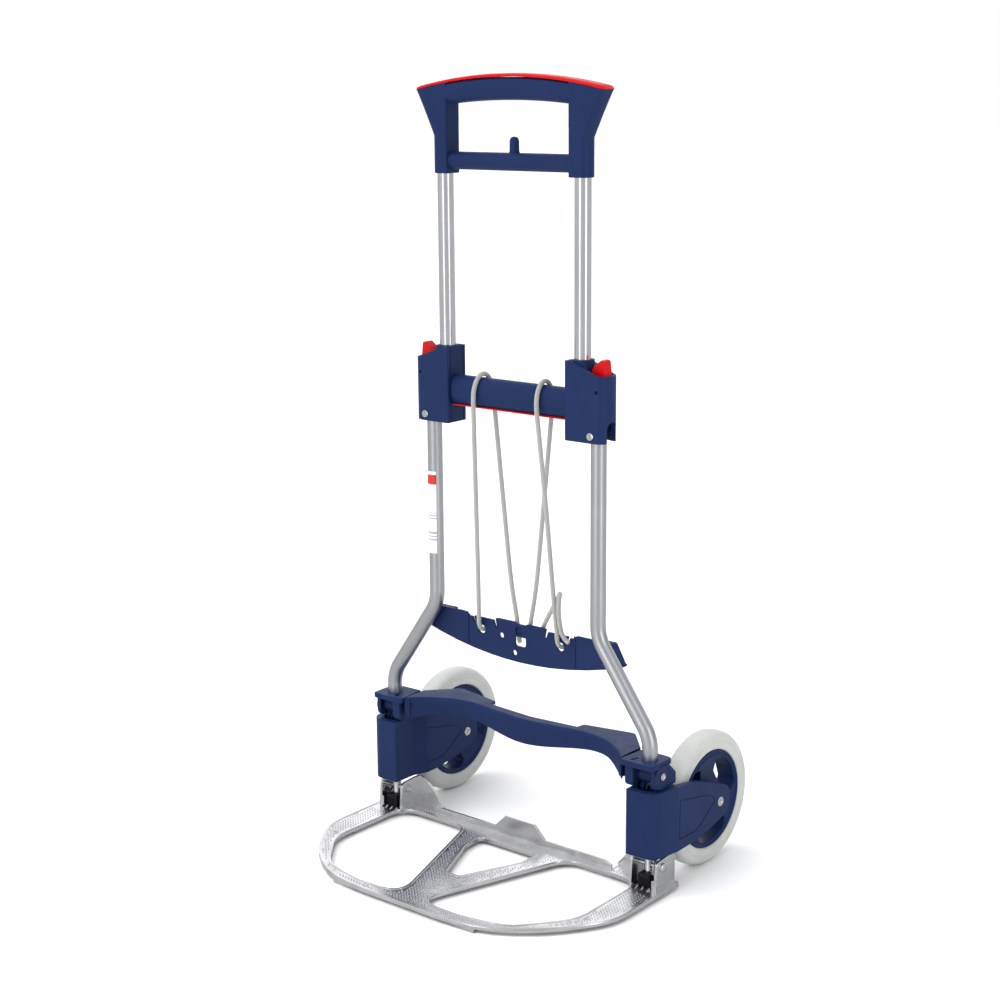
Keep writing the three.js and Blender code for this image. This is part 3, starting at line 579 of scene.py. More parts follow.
def pair(name, part, look, body, *nodes, **settings):
    """The piece on the right, and its mirror image on the left. {side} in a name is filled in."""
    for side, way in SIDES.items():
        piece(name.format(side=side), moved(part, flip=way < 0), look, body.format(side=side),
              *(n.format(side=side) for n in nodes), **settings)


def repaint(node, look):
    """A CAD node whose shape is right keeps it and gets the finish."""
    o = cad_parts[node]
    o.data.materials.clear()
    o.data.materials.append(LOOK[look])


# ------------------------------------------------------------------ elastic cords
CORD_R = 3.0
CORD_ROUTE = [
    (7, 18.5, 284), (12, 18.5, 318), (20, 18.5, 360), (34, 18.5, 480), (45, 18.5, 580), (48, 18.6, 608),
    (49, 17.6, 622), (49.6, 13.2, 633), (50, 6.5, 640), (50.2, 0, 641.6), (50.4, -6.5, 640),
    (50.8, -13.2, 633), (51.2, -17.6, 622), (51.6, -18.6, 608), (53, -16.5, 580), (58, -8, 480),
    (63, 1, 360), (65.3, 4.4, 316), (65.8, 5.6, 302), (66, 9.4, 295.3), (66, 15, 292.4), (66, 22, 291.8),
]
LOOP_ROUTE = [
    (24, 19, 290), (33, 19, 314), (48, 17.5, 340), (62, 12, 359), (70, 5, 367), (73.5, -1, 362),
    (73, -1.5, 348), (72.5, 1, 330), (74, 4.5, 314), (78, 6.8, 306), (83, 7.3, 303),
]


def make_cord(name, route, flip, node):
    line = smooth(route, 6)
    o = piece(name, moved(tube(line, CORD_R, 20), flip=flip), "cord", "frame", node)
    path = [((-x if flip else x) * MM, (y + TY) * MM, z * MM) for x, y, z in line]
    length = sum((Vector(b) - Vector(a)).length for a, b in zip(path, path[1:]))
    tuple(path[0])


for _side, _way in SIDES.items():
    make_cord("elastic_cord_piece_" + _side, CORD_ROUTE, _way < 0, "elastic_cord_" + _side)
make_cord("tie_loop_piece", LOOP_ROUTE, False, "tie_loop")


# ------------------------------------------------------------------ side tubes
def bent(points, radius, steps=14):
    """The line through the points with each corner turned at one radius."""
    p = [Vector(q) for q in points]
    line = [tuple(p[0])]
    for a, b, c in zip(p, p[1:], p[2:]):
        into, out = (b - a).normalized(), (c - b).normalized()
        turn = into.angle(out)
        start = b - into * radius * math.tan(turn / 2)
        axis = into.cross(out).normalized()
        centre = start + axis.cross(into) * radius
        for k in range(steps + 1):
            arm = Matrix.Rotation(turn * k / steps, 3, axis) @ (start - centre)
            line.append(tuple(centre + arm))
    line.append(tuple(p[-1]))
    return line


def make_tubes():
    line = bent([(SIDE_X, 0, 173), (SIDE_X, 0, 206), (LOWER_X, 0, 322), (LOWER_X, 0, 622)], 52)
    pair("side_tube_{side}", tube(line, LOWER_R, 48, 8.5), "side_tube", "frame", "lower_tube_{side}")
    low, high = 590, 976
    profile = [(9, low), (UPPER_R - 0.4, low), (UPPER_R, low + 0.5), (UPPER_R, high - 0.5),
               (UPPER_R - 0.4, high), (9, high), (9, low)]
    upper = turned("Z", (UPPER_X, 0, 0), profile, 48)
    pair("sliding_tube_{side}", upper, "tube", "handle", "upper_tube_{side}")


make_tubes()

# ------------------------------------------------------------------ handle
GRIP_HALF = 149
TOP_APEX, TOP_END = 1014, 998
UNDER_APEX, UNDER_END = 986, 981
LEG_IN, LEG_OUT, LEG_LOW, WAIST = 96.5, 123, 895, 940
LEG_HALF = 13.5


def arch(x, apex, end, half):
    radius = (half**2 + (apex - end) ** 2) / (2 * (apex - end))
    return apex - radius + math.sqrt(radius**2 - x**2)


def top_of(x):
    return arch(x, TOP_APEX, TOP_END, GRIP_HALF)


def handle_leg():
    """A leg with a flat inner side and a round outer one, flared above its waist to the grip's corner."""
    def section(outer, grow, flat_share):
        round_x = min(12.5, (outer - LEG_IN) / 2) * (1 - 0.25 * flat_share)
        round_y = LEG_HALF * (1 - 0.35 * flat_share)
        c = 2.2
        flat = [(LEG_IN, -LEG_HALF + c), (LEG_IN + 0.6, -LEG_HALF + 0.6), (LEG_IN + c, -LEG_HALF)]
        quarter = [math.pi / 2 * k / 9 for k in range(10)]
        arc = [(outer - round_x + round_x * math.sin(t), -LEG_HALF + round_y - round_y * math.cos(t))
               for t in quarter]
        arc += [(u, -v) for u, v in reversed(arc)]
        ring = flat + arc + [(u, -v) for u, v in reversed(flat)]
        middle = (LEG_IN + outer) / 2
        return [(middle + (u - middle) * (1 - grow), v * (1 - grow)) for u, v in ring]

    rings = []
    for z, grow in ((LEG_LOW, 0.06), (LEG_LOW + 0.4, 0.02), (LEG_LOW + 1.2, 0)):
        rings.append([(u, v, z) for u, v in section(LEG_OUT, grow, 0)])
    for z in (910, 925, 934, 938):
        rings.append([(u, v, z) for u, v in section(LEG_OUT, 0, 0)])
    for k in range(13):
        t = k / 12
        outer = LEG_OUT + (GRIP_HALF - LEG_OUT) * t
        ring = []
        for u, v in section(outer, 0, t):
            high = top_of(min(GRIP_HALF, u))
            level = WAIST + 2 + (TOP_END - WAIST - 2) * t
            ring.append((u, v, level + (high - TOP_END) * t))
        rings.append(ring)
    return loft(rings)


def handle_arch():
    rings = []
    for k in range(41):
        x = -LEG_IN - 6 + (2 * LEG_IN + 12) * k / 40
        high = top_of(x) - 0.15
        low = arch(min(abs(x), LEG_IN), UNDER_APEX, UNDER_END, LEG_IN)
        middle, half = (high + low) / 2, (high - low) / 2
        ring = []
        for i in range(36):
            t = 2 * math.pi * i / 36
            c, s = math.cos(t), math.sin(t)
            power = 2 / (2.3 if s < 0 else 5)
            ring.append((x, bulged(c, power) * 13.2, middle + bulged(s, power) * half))
        rings.append(ring)
    return loft(rings)


def make_handle():
    leg = handle_leg()
    bar = rod("X", (0, 0, 911.2), 11.2, -LEG_IN - 2, LEG_IN + 2, 0.2, 48)
    profile = [(0, 905), (7.5, 905), (7.3, 920), (6.8, 922.4), (6.2, 924.5), (6.1, 936), (5.4, 939.2),
               (3.4, 941.3), (0, 942)]
    peg = turned("Z", (0.5, 4, 0), profile, 32)
    bores = [rod("Z", (s * UPPER_X, 0, 0), UPPER_R + SLIDE_GAP, 890, 977, 0, 48) for s in (1, -1)]
    body = carved(handle_arch(), bores, [leg, moved(leg, flip=True), bar, peg])
    piece("handle_grip_piece", body, "navy", "handle", "handle_grip", bevel=0.5, segments=2, angle=50)

    rings = []
    for k in range(73):
        x = -GRIP_HALF + 2 * GRIP_HALF * k / 72
        inward = min(1.0, (GRIP_HALF - abs(x)) / 7)
        swell = math.sqrt(1 - (1 - inward) ** 2) * 0.85 + 0.15
        width = (LEG_HALF - 0.2) * (1 - 0.30 * (1 - inward) ** 2)
        base, high = top_of(x) + 0.3, 4.2 * swell
        arc = [math.pi * (1 - i / 16) for i in range(17)]
        shape = [(bulged(math.cos(t), 0.55) * width, math.sin(t) ** 0.62 * high) for t in arc]
        rings.append([(x, y, base + z) for y, z in shape])
    piece("handle_strip_piece", loft(rings), "red", "handle", "handle_grip_strip")


make_handle()

# ------------------------------------------------------------------ latch housings and levers
H_IN, H_LOW, H_TOP, H_OUT_TOP, H_HALF = 95, 574, 674, 657, 18.5
H_OUT = LOWER_X + 20
PIN_X, PIN_Z, PIN_BORE = 143, 638, 2.3
RIVET_Z = 583
CROSS_Z = 617.5


def make_housings():
    tall = slab("XY", oblong(H_IN, -H_HALF, H_OUT, H_HALF, 2, 17.5), H_LOW, H_TOP + 10, 1.0)
    roof = [(H_IN + 9, H_TOP), (H_OUT - 9, H_OUT_TOP + 0.5), (H_OUT + 2, H_OUT_TOP + 0.5),
            (H_OUT + 2, H_TOP + 12), (H_IN - 2, H_TOP + 12), (H_IN - 2, H_TOP)]
    slope = slab("XZ", roof, -H_HALF - 2, H_HALF + 2, 0)
    pocket_half = H_HALF - 3
    pocket = slab("XY", oblong(UPPER_X + 15, -pocket_half, H_OUT - 3, pocket_half, 2, 14.5), 645, 700, 0)
    collar = slab("XY", oblong(H_IN + 2.5, -14.5, UPPER_X + 13.2, 14.5, 2, 12), 650, H_TOP + 0.8, 1.0)
    lever_way = slab("XY", oblong(UPPER_X + 13.5, -8, LOWER_X + 16, 8, 1), 623, 690, 0)
    nose_way = slab("XY", oblong(UPPER_X + 9, -5, UPPER_X + 16, 5, 1), 623, 640, 0)
    hollow = rod("Z", (LOWER_X, 0, 0), 16.4, H_LOW - 5, 604, 0, 48)
    arched = corners([(-9, H_LOW - 4), (14, H_LOW - 4), (14, H_LOW + 26, 10), (-9, H_LOW + 26, 10)])
    notch = slab("YZ", arched, LOWER_X + 4, H_OUT + 4, 0)
    tools = [
        rod("Z", (UPPER_X, 0, 0), UPPER_R + SLIDE_GAP, H_LOW - 5, 700, 0, 48),
        rod("Z", (LOWER_X, 0, 0), LOWER_R + FIT_GAP, H_LOW - 5, 624, 0, 48),
        lever_way,
        nose_way,
        hollow,
        notch,
        rod("Y", (PIN_X, 0, PIN_Z), PIN_BORE, -H_HALF - 3, H_HALF + 3, 0, 20),
        rod("Y", (LOWER_X, 0, RIVET_Z), 3.4, -H_HALF - 3, H_HALF + 3, 0, 20),
    ]
    for y in (-12.5, 13):
        groove = oblong(y - 0.55, H_LOW - 2, y + 0.55, H_TOP + 2)
        tools.append(slab("YZ", groove, H_IN - 2, H_IN + 0.9, 0))
    body = carved(carved(tall, [slope, pocket]), tools, [collar])
    pair("latch_housing_piece_{side}", body, "navy", "frame", "latch_housing_{side}", bevel=0.7, segments=3)

    lever = [(-5, -13, 2), (4, -8, 3), (6.9, 16, 2), (4.4, 37.6, 1.6), (-0.6, 38.8, 1.6), (-9.5, 32.2, 2),
             (-15.2, 25, 1.2), (-12, 17, 2), (-7, 9, 3), (-7, -2), (-21.6, -6), (-21.6, -12)]
    shape = slab("XZ", corners([(PIN_X + q[0], PIN_Z + q[1], *q[2:]) for q in lever]), -7, 7, 1.1)
    beside_nose = oblong(PIN_X - 30, PIN_Z - 16, PIN_X - 7.5, PIN_Z + 3)
    sides = [slab("XZ", beside_nose, *sorted((s * 4, s * 9)), 0) for s in (1, -1)]
    bore = rod("Y", (PIN_X, 0, PIN_Z), PIN_BORE, -9, 9, 0, 20)
    pair("release_lever_piece_{side}", carved(shape, sides + [bore]), "red", "lever_{side}",
         "release_lever_{side}", bevel=0.3, segments=2)


def tube_rivet(axis, centre, low, high, shaft, head):
    """A hollow rivet: a shaft with a rolled ring of a head at each end."""
    ring = [(0, -0.9), (head * 0.38, -0.9), (head * 0.5, 0.5), (head * 0.72, 1.15), (head * 0.92, 0.9),
            (head, 0.25), (head, 0), (shaft, 0)]
    profile = [(r, high + h) for r, h in ring] + [(r, low - h) for r, h in reversed(ring)]
    return turned(axis, centre, profile, 40)


def make_rivets():
    rivet = tube_rivet("Y", (LOWER_X, 0, RIVET_Z), -H_HALF - 0.3, H_HALF + 0.3, 2.9, 4.9)
    pair("housing_rivet_piece_{side}", rivet, "zinc", "frame", "housing_rivet_{side}")
    for side in SIDES:
        repaint("lever_pin_" + side, "zinc")
        repaint("lever_spring_" + side, "zinc")
        repaint("upper_tube_plug_" + side, "black")


make_housings()
make_rivets()


# ------------------------------------------------------------------ upper cross tube
def make_mid_crossbar():
    rings = []
    for way in (-1, 0, 1):
        x = way * (H_IN - 1.3)
        ring = []
        for i in range(64):
            t = 2 * math.pi * i / 64
            c, s = math.cos(t), math.sin(t)
            y = bulged(c, 0.9) * 14
            z = max(-17.7, bulged(s, 0.84) * 19.5)
            ring.append((x, y, CROSS_Z + z))
        rings.append(ring)
    piece("mid_crossbar_piece", loft(rings), "navy", "frame", "mid_crossbar")
    strip = slab("YZ", corners([(-9.8, 597.7, 0.8), (5, 597.7, 0.8), (5, 599.6, 0.5), (-9.8, 599.6, 0.5)]),
                 -H_IN + 1, H_IN - 1, 0.25)
    piece("mid_crossbar_strip_piece", strip, "red", "frame", "mid_crossbar_strip")


make_mid_crossbar()


# ------------------------------------------------------------------ hook bar
def make_hook_bar():
    front, web, back, top = 10.8, 3.2, 24, 313

    def foot_at(x):
        return 259 + 25 * (x / 163) ** 2

    foot = [(x, foot_at(x)) for x in (0, 25, 50, 80, 110, 140, 163)]
    cleat = [(148, top, 4), (97, top, 1), (92.5, top, 1), (87.5, top - 4.5, 1), (82, top - 4.6, 0.8),
             (79.2, top - 13, 1.2), (76.6, top - 12.4, 1.2), (79.4, top - 3.2, 1), (46, top - 3.2, 1),
             (42.4, top - 12.4, 1.2), (39.8, top - 12.4, 1.2), (42.5, top - 0.4, 1), (38, top + 0.6, 1),
             (11, top + 0.6, 1), (8, top - 1.6, 1)]
    face = corners(foot[:1] + mirrored(foot[1:-1] + [(163, 284.2, 2.5)] + cleat))
    holes = [circle(-32, 291, 3.7), circle(-10, 271, 3.7), circle(66, 293.5, 6, 28),
             circle(-66, 293.5, 6, 28), corners([(-9, 281, 4), (9, 281, 5), (9, 294, 2), (-9, 294, 2)])]
    recess = slab("XZ", oblong(-8, 297, 2, 307.5, 0.8), front - 2, front + 2.2, 0)
    plate = carved(slab("XZ", face, front, front + web, 0.3, holes), [recess])
    under = foot + [(u, v + 3.1) for u, v in reversed(foot)]
    flange = [slab("XZ", [(s * u, v) for u, v in under], front + web - 0.4, back, 0.4) for s in (1, -1)]
    # the ribs stop short of the notched edge, and leave the small holes open to look through
    ribs = []
    root = front + web - 0.5
    for x in (24, 50, 82, 112):
        low = foot_at(x) + 1
        wall = corners([(root, low), (back - 1, low), (back - 4, top - 16, 2), (root, top - 15)])
        ribs += [slab("YZ", wall, s * x - 1.2, s * x + 1.2, 0.4) for s in (1, -1)]
    ends = []
    for s in (1, -1):
        end = [(118, 275.5), (162.6, 285.5, 2), (147.6, top - 0.6, 4), (118, top - 0.6, 1)]
        end = corners([(s * u, v, *r) for u, v, *r in end])
        ends.append(slab("XZ", end, root, back, 1.2))
        rib = corners([(s * 88.5, 268), (s * 91, 268.4), (s * 91, top - 0.8), (s * 88.5, top - 0.8)])
        ends.append(slab("XZ", rib, front - 1.0, front + 1, 0.5))
    piece("hook_bar_piece", joined(plate, *flange, *ribs, *ends), "navy", "frame", "hook_bar")
    for side in SIDES:
        repaint("hook_bar_screw_" + side, "zinc")


make_hook_bar()

# ------------------------------------------------------------------ lower crossbar and knuckles
BAR_TOP, BAR_SKIN, BAR_END = 179.0, 3.2, 183.6
BAR_FRONT = {"middle": 14, "crest": 24.5, "crest_x": 98, "end": -16.5}
BAR_LOW = {"middle": 145.5, "crest": 158.4, "crest_x": 135, "end": 149}
BAR_REAR = {
    "middle": 32,
    "step_x": 75,
    "step_from": 38.5,
    "step_to": 51,
    "wing_x": 148,
    "wing": 65,
    "end": 26,
}
KN_Z, KN_IN, KN_IN_FACE, KN_OUT_FACE, KN_OUT = 159, 191, 203.5, 228.5, 236


def ease(t):
    return t * t * (3 - 2 * t)


def swell(sizes, x, fall):
    """Eases from middle at x = 0 to crest at crest_x, and on to end at the bar's end."""
    middle, crest, crest_x, end = (sizes[k] for k in ("middle", "crest", "crest_x", "end"))
    if x <= crest_x:
        return middle + (crest - middle) * ease(x / crest_x)
    return crest + (end - crest) * fall(min((x - crest_x) / (BAR_END - crest_x), 1))


def front_at(x):
    return swell(BAR_FRONT, abs(x), lambda t: t * t)


def belly_at(x):
    return swell(BAR_LOW, abs(x), ease)


def rear_at(x):
    """The plate's rear edge: a straight middle, a step, and a wing with a rounded corner."""
    x, r = abs(x), BAR_REAR
    step_in, step_out = r["step_x"] - 1, r["step_x"] + 1
    if x <= step_in:
        return r["middle"] + (r["step_from"] - r["middle"]) * x / step_in
    if x <= step_out:
        return r["step_from"] + (r["step_to"] - r["step_from"]) * ease((x - step_in) / (step_out - step_in))
    out = r["step_to"] + (r["wing"] - r["step_to"]) * (x - step_out) / (r["wing_x"] - step_out)
    back = r["wing"] + (r["end"] - r["wing"]) * (x - r["wing_x"]) / (BAR_END - r["wing_x"])
    blunt = 1.2 * max(0, 1 - abs(x - r["wing_x"]) / 5) ** 2
    return min(out, back) - blunt


def make_lower_crossbar():
    turn = [math.pi / 2 * k / 5 for k in range(6)]
    wall, round_r, under = 3.2, 4.0, BAR_TOP - BAR_SKIN

    def section(x):
        y0, y1, low = front_at(x), rear_at(x), belly_at(x)
        ring = [(y0 + 0.9, low), (y0 + 0.25, low + 0.25), (y0, low + 0.9), (y0, (low + BAR_TOP) / 2)]
        ring += [(y0 + round_r - round_r * math.cos(t), BAR_TOP - round_r + round_r * math.sin(t))
                 for t in turn]
        ring += [(y0 + round_r + (y1 - 1.2 - y0 - round_r) * k / 4, BAR_TOP) for k in range(1, 5)]
        ring += [(y1 - 0.35, BAR_TOP - 0.35), (y1, BAR_TOP - 1.2), (y1, under + 0.6), (y1 - 0.6, under)]
        ring += [(y0 + wall + 2.2, under), (y0 + wall + 0.6, under - 0.6), (y0 + wall, under - 2.2),
                 (y0 + wall, low + 0.9), (y0 + wall - 0.3, low + 0.2), (y0 + wall - 1, low)]
        return [(x, y, z) for y, z in ring]

    xs = [4.0 * k for k in range(19)] + [73.6, 74.4, 75.0, 75.6, 76.6]
    xs += [80 + 3.0 * k for k in range(34)] + [BAR_END - 0.5, BAR_END]
    xs = [-x for x in reversed(xs[1:])] + xs
    parts = [loft([section(x) for x in xs])]
    for x in (-62, -30, 0, 30, 62):
        near, far = front_at(x) + 1, rear_at(x) - 2
        rib = [(near, 152), (near + 5, 152), (far, 172, 3), (far, BAR_TOP - 1), (near, BAR_TOP - 1)]
        parts.append(slab("YZ", corners(rib), x - 1.2, x + 1.2, 0.3))
    for s in (1, -1):
        gusset = corners([(-14, BAR_TOP - 1), (-14, 151, 3), (8, 149, 6), (26, 172, 3), (26, BAR_TOP - 1)])
        ear = rod("X", (0, 0, KN_Z), 9, *sorted((s * (BAR_END - 3), s * 190.6)), 0.6, 40)
        bore = rod("X", (0, 0, KN_Z), BOLT_BORE, *sorted((s * 170, s * 200)), 0, 24)
        web = slab("YZ", gusset, *sorted((s * (BAR_END - 6), s * BAR_END)), 0.5)
        parts.append(carved(web, [bore], [ear]))
    # a small square socket in the front wall beside each knuckle
    sockets = [slab("XZ", oblong(s * 171.5, 163.5, s * 178.5, 170.5, 0.8), -30, -9.6, 0) for s in (1, -1)]
    parts[0] = carved(parts[0], sockets)
    piece("lower_crossbar_piece", joined(*parts), "navy", "crossbar", "lower_crossbar")


def make_knuckles():
    plan = [(184.5, -22, 3), (193, -24, 5), (KN_OUT, -24, 6), (KN_OUT, 22, 8), (188.5, 24, 3)]
    collar = slab("XY", corners(plan), 171.2, 178.6, 1.4)
    slot = slab("XY", corners([(197, -17, 1), (201, -17, 1), (204.5, -6, 1), (200.5, -6, 1)]), 173, 182, 0)
    cheek = [(-19.5, 175, 2.5), (15, 175, 2.5), (15, 160, 4), (9, KN_Z - 17, 11), (-19.5, KN_Z - 15.5, 9)]
    inner = slab("YZ", corners(cheek), KN_IN, KN_IN_FACE, 0.7)
    cheek = [(-17.5, 176, 1), (9, 178, 2), (31, 157, 2), (31, 141.8, 2), (4, KN_Z - 17.4, 14),
             (-17.5, KN_Z - 14, 10)]
    outer = slab("YZ", corners(cheek), KN_OUT_FACE, KN_OUT - 1.2, 1.2)
    profile = [(0, KN_OUT - 4), (16.9, KN_OUT - 4), (16.9, KN_OUT - 0.9), (16.6, KN_OUT - 0.2),
               (16, KN_OUT), (14.9, KN_OUT), (14.5, KN_OUT - 0.7), (0, KN_OUT - 0.7)]
    rim = turned("X", (0, 0, KN_Z), profile, 64)
    bore = rod("X", (0, 0, KN_Z), BOLT_BORE, 180, 245, 0, 24)
    tube_way = rod("Z", (SIDE_X, 0, 0), LOWER_R + FIT_GAP, 165, 185, 0, 48)
    knuckle = joined(carved(collar, [slot, tube_way]), carved(inner, [bore]), carved(outer, [bore], [rim]))
    pair("knuckle_piece_{side}", knuckle, "navy", "frame", "knuckle_{side}")

    start, stop = KN_IN_FACE + 0.3, KN_OUT_FACE - 0.3
    drum_r = 11.8
    profile = [(BOLT_BORE, start), (drum_r - 0.4, start), (drum_r, start + 0.6)]
    for middle in (SIDE_X - 9.6, SIDE_X + 9.6):
        profile += [(drum_r, middle - 0.9), (11, middle - 0.9), (11, middle + 0.9), (drum_r, middle + 0.9)]
    profile += [(drum_r, stop - 0.6), (drum_r - 0.4, stop), (BOLT_BORE, stop), (BOLT_BORE, start)]
    drum = turned("X", (0, 0, KN_Z), profile, 48)
    spigot = rod("Z", (SIDE_X, 0, 0), 7.9, 160, 188, 0.6)
    post_hole = rod("Z", (SIDE_X, 0, 0), POST_BORE, 130, 153, 0, 32)
    blade = [(6.4, 137.6, 0.4), (10.9, 137.6, 0.6), (12.6, 143.5, 0.6), (9.4, 149.5, 0.5), (6.4, 149.5, 0.4)]
    fin = slab("XZ", corners(blade), -0.8, 0.8, 0.3)
    fins = []
    for i in range(12):
        turn = Matrix.Rotation(2 * math.pi * (i + 0.5) / 12, 3, "Z")
        fins.append(moved(fin, (SIDE_X, 0, 0), turn=turn))
    body = carved(drum, [post_hole], [spigot])
    # the pivot fittings take the navy darkened as painted shade, for where they sit between the knuckle's
    # cheeks
    pair("pivot_fitting_piece_{side}", joined(body, *fins), "navy_painted_shade", "frame", "pivot_fitting_{side}")
    pin = tube_rivet("X", (0, 0, KN_Z), BAR_END - 6.3, KN_OUT + 0.1, 2.9, 4.8)
    pair("knuckle_pin_piece_{side}", pin, "zinc", "frame", "knuckle_pin_{side}")


make_lower_crossbar()
make_knuckles()


# ------------------------------------------------------------------ posts and foot blocks
def make_posts():
    post = rod("Z", (SIDE_X, 0, 0), POST_R, 22, 152.6, 0.5, 48)
    bolt_way = rod("X", (0, 0, HINGE_Z), BOLT_BORE, SIDE_X - 10, SIDE_X + 10, 0, 24)
    pair("pivot_post_piece_{side}", carved(post, [bolt_way]), "post", "frame", "pivot_post_{side}")
    side = corners([(-12, 1, 2), (12, 1, 2), (12, 27, 2.5), (-12, 27, 2.5)])
    block = slab("YZ", side, SIDE_X - 9, SIDE_X + 9, 1.2)
    seat = rod("Z", (SIDE_X, 0, 0), POST_BORE, 21.7, 30, 0, 40)
    flutes = []
    for k in range(4):
        flute = oblong(SIDE_X - 5.5 + 3.6 * k, -13, SIDE_X - 4.3 + 3.6 * k, -11.2)
        flutes.append(slab("XY", flute, 5, 23, 0))
    pair("foot_block_piece_{side}", carved(block, [seat] + flutes), "black", "frame", "foot_block_{side}")


make_posts()


# ------------------------------------------------------------------ wheel carriers
def make_carriers():
    x, low, high, front = SIDE_X, 54, 141, -23.5
    hub, fork, gap = 20, 28.5, 20
    plan = corners([(x - hub, front, 0.8), (x + hub + 2, front, 18), (x + fork, 22, 30), (x + fork, 150),
                    (x - fork, 150), (x - fork, 34, 7), (x - hub, 15, 7)])
    tip = WHEEL_Y + 22
    side = corners([(front - 2, low), (20, low - 0.5), (58, low + 0.5, 14), (98, 60.5, 22), (tip, 72, 18),
                    (tip, 106, 18), (108, 119.5, 12), (72, 132.5, 20), (40, 138.5, 20), (12, high + 0.5),
                    (front - 2, high)])
    upright = slab("XY", plan, low - 6, high + 6, 0)
    part = carved(upright, within=[slab("YZ", side, x - 45, x + 45, 0)])
    throat = corners([(x - gap, 27, 8), (x + gap, 27, 8), (x + gap, 160), (x - gap, 160)])
    between = slab("XY", throat, low - 8, high + 8, 0)
    shield, inner = bordered([(26, 68, 2), (68, 68, 22), (112, 97, 6), (92, 109, 16), (26, 122, 2)], 1.3)
    panels = []
    for s in (1, -1):
        depth = sorted((x + s * (fork - 0.9), x + s * (fork + 3)))
        panels.append(slab("YZ", shield, *depth, 0, [inner]))
    hollow = corners([(34, 62, 4), (70, 63, 8), (98, 78, 8), (98, 104, 10), (34, 128, 6)])
    lighten = [slab("YZ", hollow, x + gap - 2, x + gap + 5.5, 0),
               slab("YZ", hollow, x - gap - 5.5, x - gap + 2, 0)]
    tools = [
        between,
        *panels,
        *lighten,
        rod("Z", (x, 0, 0), POST_BORE, low - 8, high + 8, 0, 40),
        rod("Z", (x, 0, 0), 15.6, high - 7, high + 8, 0, 48),
        rod("X", (0, WHEEL_Y, AXLE_Z), 4.3, x - 45, x + 45, 0, 24),
    ]
    pair("wheel_carrier_piece_{side}", carved(part, tools), "navy", "carrier_{side}", "wheel_carrier_{side}",
         bevel=0.8, segments=3, angle=35)
    pin = tube_rivet("X", (0, WHEEL_Y, AXLE_Z), x - fork - 0.3, x + fork + 0.3, 3.9, 6.4)
    pair("axle_piece_{side}", pin, "zinc", "carrier_{side}", "axle_{side}")
    for side_name in SIDES:
        # the carrier gears take the navy darkened as painted shade, for where they sit inside the carriers'
        # openings
        repaint("carrier_gear_" + side_name, "navy_painted_shade")


make_carriers()


# ------------------------------------------------------------------ wheels
def wheel_window(turn):
    line = corners([(-21, 30, 5), (21, 30, 5), (34, 41, 7), (27, 53, 10), (0, 60.5, 34), (-27, 53, 10),
                    (-34, 41, 7)])
    c, s = math.cos(turn), math.sin(turn)
    line = [(WHEEL_Y + u * c + v * s, AXLE_Z - u * s + v * c) for u, v in line]
    return slab("YZ", line, SIDE_X - 25, SIDE_X + 25, 0)


def make_wheels():
    centre = (SIDE_X, WHEEL_Y, AXLE_Z)
    half = [(8.4, 16.6), (12, 16.6), (17.5, 15.4), (19.5, 9), (22, 7.2), (34, 9), (52, 12.4), (57.5, 13.4),
            (60, 12.2), (61.5, 12.4), (63.5, 14.4), (65, 14.4), (65.6, 13.4)]
    profile = half + [(65.6, 0)] + [(r, -h) for r, h in reversed(half)] + [half[0]]
    shell = turned("X", centre, profile, 96)
    for side, way in SIDES.items():
        start = math.radians(54 if way > 0 else 87)
        tools = [wheel_window(start + 2 * math.pi * k / 3) for k in range(3)]
        rim = carved(shell, tools)
        piece("wheel_rim_piece_" + side, moved(rim, flip=way < 0), "navy", "wheel_" + side,
              "wheel_rim_" + side, bevel=0.9, segments=3, angle=35)

    section = [(66.2, 12.6), (67.5, 14.0), (70, 14.8), (76, 15.0), (76.6, 14.5), (77.2, 15.0),
               (82, 14.9), (84.6, 14.0), (87, 11.8), (88.8, 8.5), (89.8, 4.5), (90, 0)]
    ring = section + [(r, -h) for r, h in reversed(section[:-1])] + [(66.1, 0), section[0]]
    pair("tyre_piece_{side}", turned("X", centre, ring, 120), "tyre", "wheel_{side}", "tyre_{side}")
    for side in SIDES:
        repaint("wheel_bush_" + side, "black")


make_wheels()

# ------------------------------------------------------------------ toe plate
PLATE_TOP, PLATE_UNDER, PLATE_BACK = 10, 4, 28
IN_CHEEK, OUT_CHEEK = (195, 199), (233, 237)
EDGE = [
    (150, 10), (150, PLATE_BACK), (244, PLATE_BACK, 2), (244, -112, 90), (198, -182, 220),
    (128, -232.5, 140), (60, -236.5),
]
WINDOW = [(202, -3, 30), (204, -138, 60), (150, -206, 60), (84, -218, 50), (14, -218, 28), (88, -3, 32)]
TRIANGLE = [(11, -132, 7), (46, -50, 5), (49, -17, 10)]


def distance_to(line, p):
    """How far a flat point is from a closed outline."""
    best = 1e9
    for i in range(len(line)):
        ax, ay = line[i - 1]
        bx, by = line[i]
        dx, dy = bx - ax, by - ay
        t = max(0, min(1, ((p[0] - ax) * dx + (p[1] - ay) * dy) / max(dx * dx + dy * dy, 1e-9)))
        best = min(best, math.hypot(p[0] - ax - t * dx, p[1] - ay - t * dy))
    return best


def inside(line, p):
    odd = False
    for i in range(len(line)):
        (ax, ay), (bx, by) = line[i - 1], line[i]
        if (ay > p[1]) != (by > p[1]) and p[0] < (bx - ax) * (p[1] - ay) / (by - ay) + ax:
            odd = not odd
    return odd


